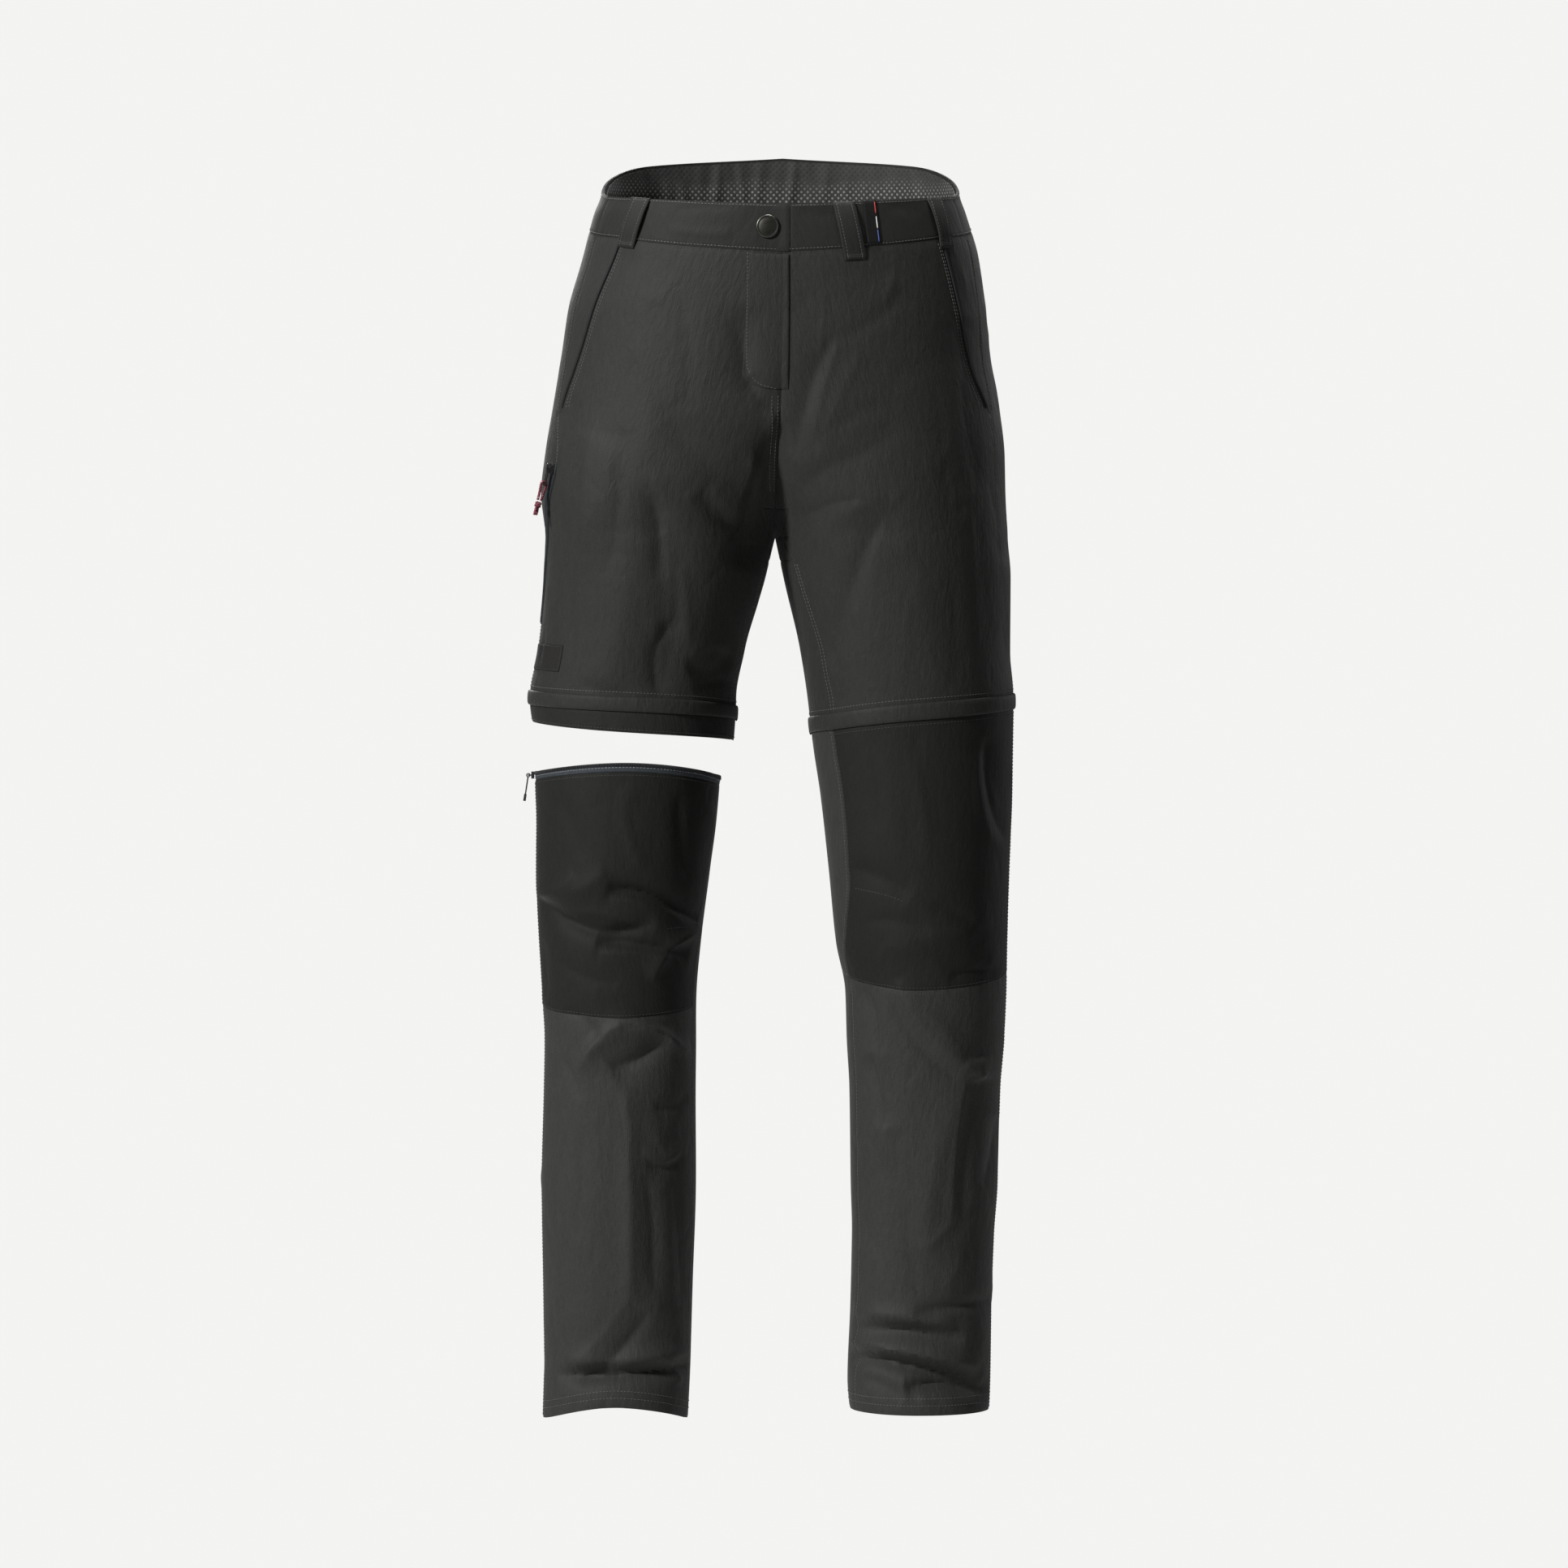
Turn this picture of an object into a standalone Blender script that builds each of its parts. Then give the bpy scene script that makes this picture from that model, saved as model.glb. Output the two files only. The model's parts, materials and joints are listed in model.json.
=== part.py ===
"""Convertible zip-off trousers, filled out and hollow, with one lower leg taken off at its zip.

+X is to the wearer's left, the front faces -Y and +Z is up. The origin is the centre of the waist.
Tables are in millimetres. Each half of the garment is one grid of skin points: rows run round it and
columns run down it, and both follow the seams, so neighbouring panels share their edges. A panel is
some cells of that grid, given its wall inwards and a narrow gap at its seams. Trims are made from the
same skin, moved out.
"""

import math

import bpy
import numpy as np
from mathutils import Matrix, Vector

MM = 0.001

# Driving dimensions, in mm
WALL = 1.6
BAND_WALL = 2.6
MESH_WALL = 1.0
SEAM_GAP = 0.32
GUSSET_GAP = 0.8  # its edges curve most, so it keeps a little more room
TRIM_GAP = 0.45
ROUNDNESS = 2.15  # power of the superellipse that each section follows
FRONT_CELLS = 14
BACK_CELLS = 10
POCKET_COLUMN = 12
STRIP_WALL = 1.8
FLY_GAP = 0.8
FLY_COLUMNS = (0.06, 0.5, 1, 1.35, 1.7, 1.9)
LOOP_WIDTH = 18.4
LOOP_WALL = 1.5
LOOP_BOW = 2.4
TAB_WIDTH = 12.2
TAB_TOP, TAB_FOOT = (76.5, -10), (81, -47)
CORD_WIDTH = 2.2
ZIP_TOP, ZIP_FOOT = -234.0, -372.0
SLIDER_HEIGHT = -238.0
THIGH_PULL_LEAN = 7.0  # degrees off the skin at rest
THIGH_KNOT_DROP = 33.2  # from the pull's hinge to the middle of the knot
LEG_PULL_LEAN = 9.0
GATHER_DEPTH = 1.8  # how far the gathered mesh stands off the band
LABEL_SIDE = -190.0
SNAP_PLACE = (-9.6, -32.5)
LABEL_TOP, LABEL_FOOT = -389.0, -411.5
LABEL_COLUMNS = (10.5, 13.6)

RIGHT, LEFT = -1, 1

# Belt loops: name, side, top and foot as (x, z), whether on the back
LOOPS = (
    ("loop_right_front", RIGHT, (-115, -4), (-131, -50), False),
    ("loop_left_front", LEFT, (54, -9), (65, -61), False),
    ("loop_left_side", LEFT, (131, -4), (142, -50), False),
    ("loop_back_right", RIGHT, (-80, 22), (-84, -24), True),
    ("loop_back_left", LEFT, (84, 22), (88, -24), True),
)

# Sections of the shorts part down to the crotch. split: how far the middle of each half has moved
# from the centre line. reach: its half-width towards that line.
TORSO = """
    z    right   left  front  back  split  reach  centre
    45  -151.0  153.0    104   108    0.0  151.0     3.0
     0  -152.6  154.7    105   110    0.0  154.0     3.0
   -20  -159.5  161.0    107   112    4.0  158.0     3.0
   -58  -169.4  172.0    110   118   12.0  165.0     3.0
  -100  -181.3  177.6    112   124   25.0  165.0     3.0
  -142  -187.6  182.0    113   129   38.0  160.0     2.5
  -184  -194.6  189.5    113   131   54.0  152.0     1.5
  -226  -201.6  194.2    112   128   73.0  138.0    -0.5
  -260  -205.1  195.0    110   123   87.0  121.0    -2.0
  -280  -203.0  196.0    108   119   94.0  109.0    -3.0
  -292  -200.5  196.8    107   116   97.8  102.6    -3.4
  -298  -199.5  197.0    107   115  100.0  100.0    -3.5
"""
LEFT_LEG = """
     z   inner  outer  front  back
  -331     3.5  199.5    104   108
  -394    18.0  199.2     97    98
  -436    24.5  202.0     93    93
  -478    29.4  201.5     90    88
  -520    35.7  201.0     88    83
  -583    42.7  198.5     85    75
  -646    49.0  196.7     78    72
  -688    57.0  196.0     72    72
  -730    58.3  194.2     67    73
  -772    60.6  190.9     64    73
  -856    61.8  188.6     60    72
  -898    62.8  185.6     58    70
  -961    61.4  183.4     57    68
 -1024    59.0  182.4     56    66
 -1055    61.5  181.2     56    66
"""
RIGHT_LEG = """
     z    inner  outer  front  back
  -331    -11.5 -201.6    104   108
  -352    -17.5 -203.0    102   105
  -394    -29.5 -207.6     97    98
  -436    -37.0 -215.0     93    93
  -480    -39.5 -208.0     92    92
"""
TAKEN_OFF_LEG = """
     z    inner  outer  front  back
  -480    -49.5 -210.0     84    80
  -505    -51.0 -210.3     84    80
  -541    -54.0 -209.3     83    76
  -583    -59.5 -209.6     80    71
  -646    -67.5 -207.0     74    66
  -688    -71.2 -204.6     69    66
  -730    -71.6 -202.3     65    67
  -772    -72.0 -203.0     63    68
  -856    -71.8 -205.0     61    68
  -940    -74.6 -203.8     59    66
 -1003    -76.4 -203.0     58    64
 -1060    -79.0 -204.4     58    64
"""

# How far round towards the front the side seam lies from the widest point, how far round from the
# innermost point the inseam lies, and how wide the pocket bearer is.
RIGHT_SEAMS = """
     z   side  inseam  pocket
    40     40      16      44
   -40     38      17      38
  -120     38      18      25
  -160     37      19      15
  -191     40      19       4
  -222     52      20      20
  -240     54      20      28
  -265     46      20      34
  -300     24      20      40
  -331     10      27      40
  -390      4      22      38
  -480      4      32      36
"""
TAKEN_OFF_SEAMS = """
     z   side  inseam  pocket
  -480      4      22      34
 -1060      4      20      27
"""
LEFT_SEAMS = """
     z   side  inseam  pocket
    40     36      30      44
   -40     38      31      38
  -120     42      33      25
  -160     45      34      15
  -191     46      35       4
  -222     48      37      20
  -265     50      40      32
  -298     51      44      34
  -317     51      54      34
  -345     42      58      36
  -394     18      61      38
  -440      6      63      38
  -510      5      64      36
  -594      5      58      34
  -628      5      46      32
  -671      5      30      31
 -1060      5      25      26
"""
INSEAM_COLUMN = {RIGHT: 1, LEFT: 2}

# Rows that follow a seam: their height at the centre front (or the inner leg), a quarter round, at the
# side seam, and on to the centre back, with the number of cells down to the next one.
SHORTS_ROWS = """
  name          inner_front  front   side   back  inner_back  cells
  waist_top             -13    -10     -5     24          32      2
  waist_seam            -54    -48    -38    -21         -11      5
  fly_foot             -172   -180   -191   -184        -178      3
  crotch_turn          -262   -258   -252   -257        -261      3
  crotch               -298   -293   -291   -293        -298      1
"""
LEFT_ROWS = SHORTS_ROWS + """
  gusset_foot          -318   -313   -311   -313        -318      5
  strip_top            -452   -437   -431   -446        -454      1
  strip_foot           -465   -451   -444   -459        -467     12
  knee_foot            -671   -684   -672   -664        -668     17
  hem                 -1049  -1051  -1050  -1048       -1049      0
"""
RIGHT_ROWS = SHORTS_ROWS + """
  gusset_foot          -318   -313   -311   -313        -318      5
  strip_top            -442   -432   -428   -438        -443      1
  strip_foot           -453   -444   -440   -450        -455      1
  shorts_foot          -472   -463   -456   -463        -473      0
"""
TAKEN_OFF_ROWS = """
  name          inner_front  front   side   back  inner_back  cells
  tape_top             -504   -489   -499   -500        -503      1
  tape_foot            -511   -497   -506   -508        -510     11
  knee_foot            -700   -708   -701   -694        -697     17
  hem                 -1058  -1044  -1057  -1056       -1058      0
"""

# Creases as seen from the front (face 1) or from behind (face -1): both ends, the sideways bend of the
# middle, the half-width and the depth, where a trough is negative.
CREASES = """
  face    x0     z0     x1     z1   bend  width  depth
     1   -31   -105    -33   -172      3     14   -2.5
     1    -3   -205    -31   -315      6     12   -6.0
     1   -15   -235    -22   -300      4      9    3.0
     1  -108   -262   -100   -425     14     15   -4.5
     1   -66   -258    -36   -290      0     12   -3.0
     1   -76   -408    -41   -397    -10      9   -3.0
     1    41   -134     14   -222     -6     14   -3.0
     1    93   -272     42   -400     -4     15   -4.5
     1    18   -255    100   -198     -6     16   -2.5
     1   -18   -262    -92   -200      6     16   -2.5
     1    30   -300     86   -262      4     12    3.0
     1   158   -120    168   -250      4     16   -2.5
     1  -130   -320   -150   -420      5     20    2.5
     1   120   -330    140   -430     -6     20    2.5
     1  -150   -215   -172   -300     10     22    3.0
     1  -206   -605   -150   -585     -5     11    3.5
     1  -202   -608   -113   -631    -12     10   -4.0
     1  -200   -624   -113   -635      8      9   -3.0
     1  -142   -598    -67   -631      6     11   -5.0
     1  -152   -645    -83   -657      3     10   -3.5
     1  -110   -672    -72   -636      8     10    3.5
     1  -170   -752    -83   -735     24     11    3.5
     1  -142   -752    -99   -726     -4     15   -4.0
     1  -131   -775   -128   -958      3     16    2.5
     1  -127   -955   -184  -1012      0     13   -3.5
     1  -186  -1016    -88  -1014      2     10   -4.0
     1   178   -474    194   -555      2     11   -4.0
     1    64   -580    110   -602      3     11   -3.0
     1   100   -640    178   -625     -6     12    2.5
     1   103   -682    160   -750      4     11    3.5
     1   172   -744    174   -762      0     11    4.0
     1   159   -764    126   -905     -8     14    3.0
     1   188   -798    178   -852      2      9   -3.0
     1    72   -984    166   -978      3     10   -3.0
     1    66  -1002    166  -1019      3      9   -4.5
     1   112  -1028    176  -1032      3      8   -3.0
    -1  -100   -262    -25   -300      6     14   -4.5
    -1   100   -262     22   -300     -6     14   -4.5
    -1   -90   -235    -15   -262      8     14    3.0
    -1    90   -235     12   -262     -8     14    3.0
    -1  -140   -330    -60   -352     10     14   -3.5
    -1   145   -330     65   -352    -10     14   -3.5
    -1   -60   -120   -110   -210      6     18   -2.5
    -1    60   -120    115   -210     -6     18   -2.5
    -1  -190   -590    -80   -596     12     12   -5.0
    -1  -190   -622    -82   -634      8     11    3.5
    -1  -180   -655    -85   -650      9     12   -4.0
    -1   185   -560     70   -566     12     12   -5.0
    -1   185   -592     70   -604      8     11    3.5
    -1   180   -625     72   -620      9     12   -4.0
    -1  -195   -745    -95   -770     10     14   -3.0
    -1   180   -730     75   -752     10     14   -3.0
    -1  -185   -985    -92  -1000      4     12   -3.5
    -1   175   -975     78   -990      4     12   -3.5
"""

# Colours and finishes
SHELL = ((0.040, 0.040, 0.037), 0.78, 0.0)
KNEE = ((0.0165, 0.0160, 0.0150), 0.80, 0.0)
SHIN = ((0.038, 0.038, 0.036), 0.78, 0.0)
BAND = ((0.043, 0.043, 0.040), 0.76, 0.0)
MESH = ((0.042, 0.041, 0.037), 0.85, 0.0)
BINDING = ((0.012, 0.012, 0.012), 0.70, 0.0)
TAPE = ((0.028, 0.033, 0.038), 0.60, 0.0)
GUNMETAL = ((0.060, 0.058, 0.050), 0.38, 1.0)
BLACK_METAL = ((0.010, 0.010, 0.010), 0.35, 1.0)
CORD_RED = ((0.210, 0.012, 0.045), 0.65, 0.0)
LABEL = ((0.016, 0.015, 0.014), 0.75, 0.0)


def read_table(text):
    """Named columns of a table, as a dict of lists."""
    lines = [line.split() for line in text.strip().splitlines() if line.strip()]
    columns = {name: [] for name in lines[0]}
    for line in lines[1:]:
        for name, value in zip(lines[0], line):
            columns[name].append(value if name == "name" else float(value))
    return columns


def smooth_curve(xs, ys):
    """A smooth curve through the points that never overshoots them (monotone cubic)."""
    order = np.argsort(xs)
    xs = np.array(xs, float)[order]
    ys = np.array(ys, float)[order]
    step = np.diff(xs)
    slope = np.diff(ys) / step
    tangent = np.zeros(len(xs))
    tangent[0] = slope[0]
    tangent[-1] = slope[-1]
    for k in range(1, len(xs) - 1):
        if slope[k - 1] * slope[k] > 0:
            tangent[k] = 2 * slope[k - 1] * slope[k] / (slope[k - 1] + slope[k])

    def value(x):
        x = min(max(x, xs[0]), xs[-1])
        k = min(int(np.searchsorted(xs, x, side="right")) - 1, len(step) - 1)
        t = (x - xs[k]) / step[k]
        start = (1 + 2 * t) * (1 - t) ** 2 * ys[k] + t * (1 - t) ** 2 * step[k] * tangent[k]
        end = t * t * (3 - 2 * t) * ys[k + 1] + t * t * (t - 1) * step[k] * tangent[k + 1]
        return start + end

    return value


class Tube:
    """One half of the garment, or the lower leg that is off: its sections, seams and rows."""

    def __init__(self, side, sections, seams, rows):
        self.side = side
        self.sections = {name: smooth_curve(sections["z"], sections[name]) for name in sections}
        seam_table = read_table(seams)
        self.seams = {name: smooth_curve(seam_table["z"], seam_table[name]) for name in seam_table}
        self.guides = read_table(rows)
        self.columns = FRONT_CELLS + BACK_CELLS
        self.row = {}
        count = 0
        for name, cells in zip(self.guides["name"], self.guides["cells"]):
            self.row[name] = count
            count += int(cells)
        self.rows = count
        self.first_ring = self.row.get("crotch", -1)

    def section(self, z):
        """Points round the section at height z, from the inner front to the inner back."""
        at = {name: curve(z) for name, curve in self.sections.items()}
        split = abs(at["middle"] - at["centre"])
        start = math.acos(min(1.0, split / at["reach"]) ** (ROUNDNESS / 2))
        turn = np.linspace(start, 2 * math.pi - start, 181)
        across = np.abs(np.cos(turn)) ** (2 / ROUNDNESS)
        along = np.abs(np.sin(turn)) ** (2 / ROUNDNESS)
        half = abs(at["outer"] - at["middle"])
        out = np.where(np.cos(turn) > 0, -at["reach"] * across, half * across)
        x = at["middle"] + self.side * out
        y = np.where(np.sin(turn) > 0, -at["front"] * along, at["back"] * along)
        length = np.concatenate([[0], np.cumsum(np.hypot(np.diff(x), np.diff(y)))])
        widest = np.interp(math.pi, turn, length)
        return x, y, length, widest

    def place(self, column, z):
        """The skin point on a column (which may lie between two) at height z."""
        x, y, length, widest = self.section(z)
        side_seam = widest - self.seams["side"](z)
        if column <= FRONT_CELLS:
            anchors = [0, INSEAM_COLUMN[self.side], POCKET_COLUMN, FRONT_CELLS]
            places = [0, self.seams["inseam"](z), side_seam - self.seams["pocket"](z), side_seam]
            s = np.interp(column, anchors, places)
        else:
            part = (column - FRONT_CELLS) / BACK_CELLS
            s = side_seam + part * (length[-1] - side_seam)
        return np.array([np.interp(s, length, x), np.interp(s, length, y), z])

    def height(self, row, column):
        """The height of a row (which may lie between two) at a column."""
        if column <= FRONT_CELLS:
            u = 0.5 * column / FRONT_CELLS
        else:
            u = 0.5 + 0.5 * (column - FRONT_CELLS) / BACK_CELLS
        starts = [self.row[name] for name in self.guides["name"]]
        g = min(int(np.searchsorted(starts, row, side="right")) - 1, len(starts) - 2)
        heights = []
        for k in (g, g + 1):
            points = [self.guides[n][k] for n in ("inner_front", "front", "side", "back", "inner_back")]
            heights.append(smooth_curve([0, 0.25, 0.5, 0.75, 1], points)(u))
        part = (row - starts[g]) / (starts[g + 1] - starts[g])
        return heights[0] + (heights[1] - heights[0]) * part

    def skin(self):
        """Skin points of the whole grid, by row and column."""
        points = np.zeros((self.rows + 1, self.columns + 1, 3))
        for row in range(self.rows + 1):
            for column in range(self.columns + 1):
                points[row, column] = self.place(column, self.height(row, column))
        return points

    def key(self, row, column):
        """What names a grid point. Both halves share those on the centre line, and a ring closes."""
        last = self.columns
        if column not in (0, last):
            return (id(self), row, column)
        if row > self.first_ring:
            return (id(self), row, 0)
        if row == self.first_ring:
            return ("crotch",)
        return ("centre", row, column)


def torso_sections(side, legs):
    """Section columns of one half: the shorts part, then its leg."""
    torso = read_table(TORSO)
    leg = read_table(legs)
    outer = torso["left" if side == LEFT else "right"]
    middle = [c + side * s for c, s in zip(torso["centre"], torso["split"])]
    halves = [abs(o - i) / 2 for i, o in zip(leg["inner"], leg["outer"])]
    return {
        "z": torso["z"] + leg["z"],
        "outer": outer + leg["outer"],
        "middle": middle + [(i + o) / 2 for i, o in zip(leg["inner"], leg["outer"])],
        "reach": torso["reach"] + halves,
        "centre": torso["centre"] + [torso["centre"][-1]] * len(halves),
        "front": torso["front"] + leg["front"],
        "back": torso["back"] + leg["back"],
    }


def ring_sections(legs):
    """Section columns of the lower leg that is off."""
    leg = read_table(legs)
    return {
        "z": leg["z"],
        "outer": leg["outer"],
        "middle": [(i + o) / 2 for i, o in zip(leg["inner"], leg["outer"])],
        "reach": [abs(o - i) / 2 for i, o in zip(leg["inner"], leg["outer"])],
        "centre": [0.0] * len(leg["z"]),
        "front": leg["front"],
        "back": leg["back"],
    }


def crease_lift(points, normals):
    """How far the creases move each point along its normal."""
    table = read_table(CREASES)
    lift = np.zeros(len(points))
    flat = points[:, [0, 2]]
    for k in range(len(table["face"])):
        start = np.array([table["x0"][k], table["z0"][k]])
        end = np.array([table["x1"][k], table["z1"][k]])
        run = end - start
        size = np.hypot(*run)
        sideways = np.array([-run[1], run[0]]) / size
        part = np.clip((flat - start) @ run / size**2, -0.3, 1.3)
        inside = np.clip(part, 0, 1)
        bulge = 4 * table["bend"][k] * inside * (1 - inside)
        bent = start + part[:, None] * run + bulge[:, None] * sideways
        away = np.hypot(*(flat - bent).T) / table["width"][k]
        fade = np.clip(1 - np.abs(2 * part - 1) ** 4 / 1.8, 0, 1)
        facing = np.clip(-table["face"][k] * normals[:, 1] * 3, 0, 1)
        lift += table["depth"][k] * np.exp(-(away**2)) * fade * facing
    return lift


class Skin:
    """The skin points of all tubes together, with their normals and cells."""

    def __init__(self, tubes):
        self.tubes = tubes
        self.index = {}
        points = []
        for tube in tubes:
            grid = tube.skin()
            for row in range(tube.rows + 1):
                for column in range(tube.columns + 1):
                    key = tube.key(row, column)
                    if key not in self.index:
                        self.index[key] = len(points)
                        points.append(grid[row, column])
        self.points = np.array(points)
        self.normals = self.vertex_normals()
        self.points = self.points + self.normals * crease_lift(self.points, self.normals)[:, None]
        self.normals = self.vertex_normals()

    def cell(self, tube, row, column):
        """The four points of a cell, in the order that turns its face outwards."""
        corners = [(row, column), (row, column + 1), (row + 1, column + 1), (row + 1, column)]
        found = [self.index[tube.key(*corner)] for corner in corners]
        return found[::-1] if tube.side == LEFT else found

    def vertex_normals(self):
        cells = []
        for tube in self.tubes:
            cells += [self.cell(tube, r, c) for r in range(tube.rows) for c in range(tube.columns)]
        cells = np.array(cells)
        corner = self.points[cells]
        face = np.cross(corner[:, 2] - corner[:, 0], corner[:, 3] - corner[:, 1])
        total = np.zeros_like(self.points)
        for k in range(4):
            np.add.at(total, cells[:, k], face)
        return total / np.linalg.norm(total, axis=1)[:, None]

    def at(self, tube, row, column):
        """Skin point and normal on the flat facets, also between grid points."""
        r = min(max(int(math.floor(row)), 0), tube.rows - 1)
        c = min(max(int(math.floor(column)), 0), tube.columns - 1)
        v = row - r
        w = column - c
        point = np.zeros(3)
        normal = np.zeros(3)
        weights = [((1 - v) * (1 - w), r, c), ((1 - v) * w, r, c + 1)]
        weights += [(v * (1 - w), r + 1, c), (v * w, r + 1, c + 1)]
        for weight, i, j in weights:
            k = self.index[tube.key(i, j)]
            point += weight * self.points[k]
            normal += weight * self.normals[k]
        return point, normal / np.linalg.norm(normal)

    def find(self, tube, x, z, back=False):
        """Row and column of the skin point that shows at x, z from the front, or from behind."""
        low, high = (FRONT_CELLS, tube.columns) if back else (0, FRONT_CELLS)
        guess, best = (0, low), 1e9
        for row in range(tube.rows + 1):
            for column in range(low, high + 1):
                p = self.points[self.index[tube.key(row, column)]]
                far = math.hypot(p[0] - x, p[2] - z)
                if far < best:
                    guess, best = (row, column), far
        row, column = map(float, guess)
        step = 0.02
        for _ in range(25):
            here = self.at(tube, row, column)[0][[0, 2]]
            down = (self.at(tube, row + step, column)[0][[0, 2]] - here) / step
            along = (self.at(tube, row, column + step)[0][[0, 2]] - here) / step
            off = np.linalg.solve(np.array([down, along]).T + 1e-9, np.array([x, z]) - here)
            off = np.clip(off, -0.4, 0.4)
            row = min(max(row + off[0], 0), tube.rows)
            column = min(max(column + off[1], low), high)
        return row, column


def material(name, finish):
    colour, roughness, metallic = finish
    made = bpy.data.materials.new(name)
    made.use_nodes = True
    shader = made.node_tree.nodes["Principled BSDF"]
    shader.inputs["Base Color"].default_value = (*colour, 1)
    shader.inputs["Roughness"].default_value = roughness
    shader.inputs["Metallic"].default_value = metallic
    return made


def solid(name, points, faces, finish):
    """A named object from points in millimetres."""
    mesh = bpy.data.meshes.new(name)
    mesh.from_pydata([tuple(np.asarray(p) * MM) for p in points], [], faces)
    mesh.validate()
    made = bpy.data.objects.new(name, mesh)
    made.data.materials.append(material(name, finish))
    mesh.shade_smooth()
    mesh.set_sharp_from_angle(angle=math.radians(40))
    bpy.context.scene.collection.objects.link(made)
    return made


def panel(skin, name, parts, finish, wall=WALL, gap=SEAM_GAP):
    """A wall of cloth from blocks of cells: (tube, first row, last row, first column, last column)."""
    cells = []
    for tube, top, foot, first, last in parts:
        cells += [skin.cell(tube, r, c) for r in range(top, foot) for c in range(first, last)]
    used = sorted({k for cell in cells for k in cell})
    number = {k: n for n, k in enumerate(used)}
    edges = {}
    for cell in cells:
        for a, b in zip(cell, cell[1:] + cell[:1]):
            edges[(a, b)] = cell
    border = [(a, b) for a, b in edges if (b, a) not in edges]
    inward = {}
    for a, b in border:
        pa, pb = skin.points[a], skin.points[b]
        middle = skin.points[edges[(a, b)]].mean(axis=0) - (pa + pb) / 2
        run = (pb - pa) / max(np.linalg.norm(pb - pa), 1e-9)
        side = middle - (middle @ run) * run
        side /= np.linalg.norm(side)
        for k in (a, b):
            inward.setdefault(k, []).append(side)
    outer = []
    inner = []
    for k in used:
        point = skin.points[k].copy()
        if k in inward:
            total = np.sum(inward[k], axis=0) * 2 / len(inward[k])
            cosine = min(max(total @ total / 2 - 1, -0.5), 1)
            point += gap / 2 * total / (1 + cosine)
        outer.append(point)
        inner.append(point - skin.normals[k] * wall)
    count = len(used)
    faces = [[number[k] for k in cell] for cell in cells]
    faces += [[number[k] + count for k in reversed(cell)] for cell in cells]
    faces += [[number[b], number[a], number[a] + count, number[b] + count] for a, b in border]
    return solid(name, outer + inner, faces, finish)


def slab(name, spots, low, high, finish):
    """A closed piece over a block of skin spots, a list of rows of (point, normal).

    low and high are how far its two faces lie off the skin, as numbers or functions of the row part.
    """
    rows, columns = len(spots), len(spots[0])
    low_at = low if callable(low) else lambda part: low
    high_at = high if callable(high) else lambda part: high
    points = []
    for lift in (low_at, high_at):
        for i, row in enumerate(spots):
            points += [p + n * lift(i / (rows - 1)) for p, n in row]
    count = rows * columns

    def spot(i, j, level):
        return level * count + i * columns + j

    faces = []
    for i in range(rows - 1):
        for j in range(columns - 1):
            quad = [spot(i, j, 1), spot(i, j + 1, 1), spot(i + 1, j + 1, 1), spot(i + 1, j, 1)]
            faces += [quad, [k - count for k in reversed(quad)]]
    ring = [(0, j) for j in range(columns - 1)] + [(i, columns - 1) for i in range(rows - 1)]
    ring += [(rows - 1, j) for j in range(columns - 1, 0, -1)] + [(i, 0) for i in range(rows - 1, 0, -1)]
    for (i, j), (k, m) in zip(ring, ring[1:] + ring[:1]):
        faces.append([spot(i, j, 1), spot(i, j, 0), spot(k, m, 0), spot(k, m, 1)])
    made = solid(name, points, faces, finish)
    # The block may run either way round, so its faces are turned outwards here.
    corner = np.array([points[spot(0, 0, 1)], points[spot(0, 1, 1)], points[spot(1, 0, 1)]])
    if np.cross(corner[1] - corner[0], corner[2] - corner[0]) @ spots[0][0][1] < 0:
        made.data.flip_normals()
    return made


def strap_spots(skin, tube, top, foot, width, rows=5, columns=3, back=False):
    """Skin spots under a straight strap from top to foot, both (x, z) as it shows from the front."""
    spots = []
    for part in np.linspace(0, 1, rows):
        x = top[0] + (foot[0] - top[0]) * part
        z = top[1] + (foot[1] - top[1]) * part
        row, column = skin.find(tube, x, z, back)
        middle, normal = skin.at(tube, row, column)
        round_it = skin.at(tube, row, column + 0.1)[0] - skin.at(tube, row, column - 0.1)[0]
        per_mm = 0.2 / np.linalg.norm(round_it)
        across = column + np.linspace(-0.5, 0.5, columns) * width * per_mm
        spots.append([skin.at(tube, row, place) for place in across])
    return spots


def stops(start, end):
    """start and end with the whole numbers between them, so that a trim bends where the skin's cells do."""
    low, high = sorted((start, end))
    between = [float(k) for k in range(math.floor(low) + 1, math.ceil(high))]
    return [low] + between + [high]


def turned(name, profile, spot, finish, sides=24):
    """A round piece on the skin, from (radius, height) pairs that start on the axis and go down."""
    point, normal = spot
    up = np.array([0, 0, 1.0])
    across = np.cross(up, normal)
    across /= np.linalg.norm(across)
    above = np.cross(normal, across)
    points = [point + normal * profile[0][1]]
    for radius, height in profile[1:-1]:
        for k in range(sides):
            a = 2 * math.pi * k / sides
            points.append(point + normal * height + radius * (across * math.cos(a) + above * math.sin(a)))
    points.append(point + normal * profile[-1][1])
    rings = len(profile) - 2
    faces = []
    for k in range(sides):
        n = (k + 1) % sides
        faces.append([0, 1 + k, 1 + n])
        for ring in range(rings - 1):
            a = 1 + ring * sides
            faces.append([a + k, a + sides + k, a + sides + n, a + n])
        a = 1 + (rings - 1) * sides
        faces.append([len(points) - 1, a + n, a + k])
    return solid(name, points, faces, finish)


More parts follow.
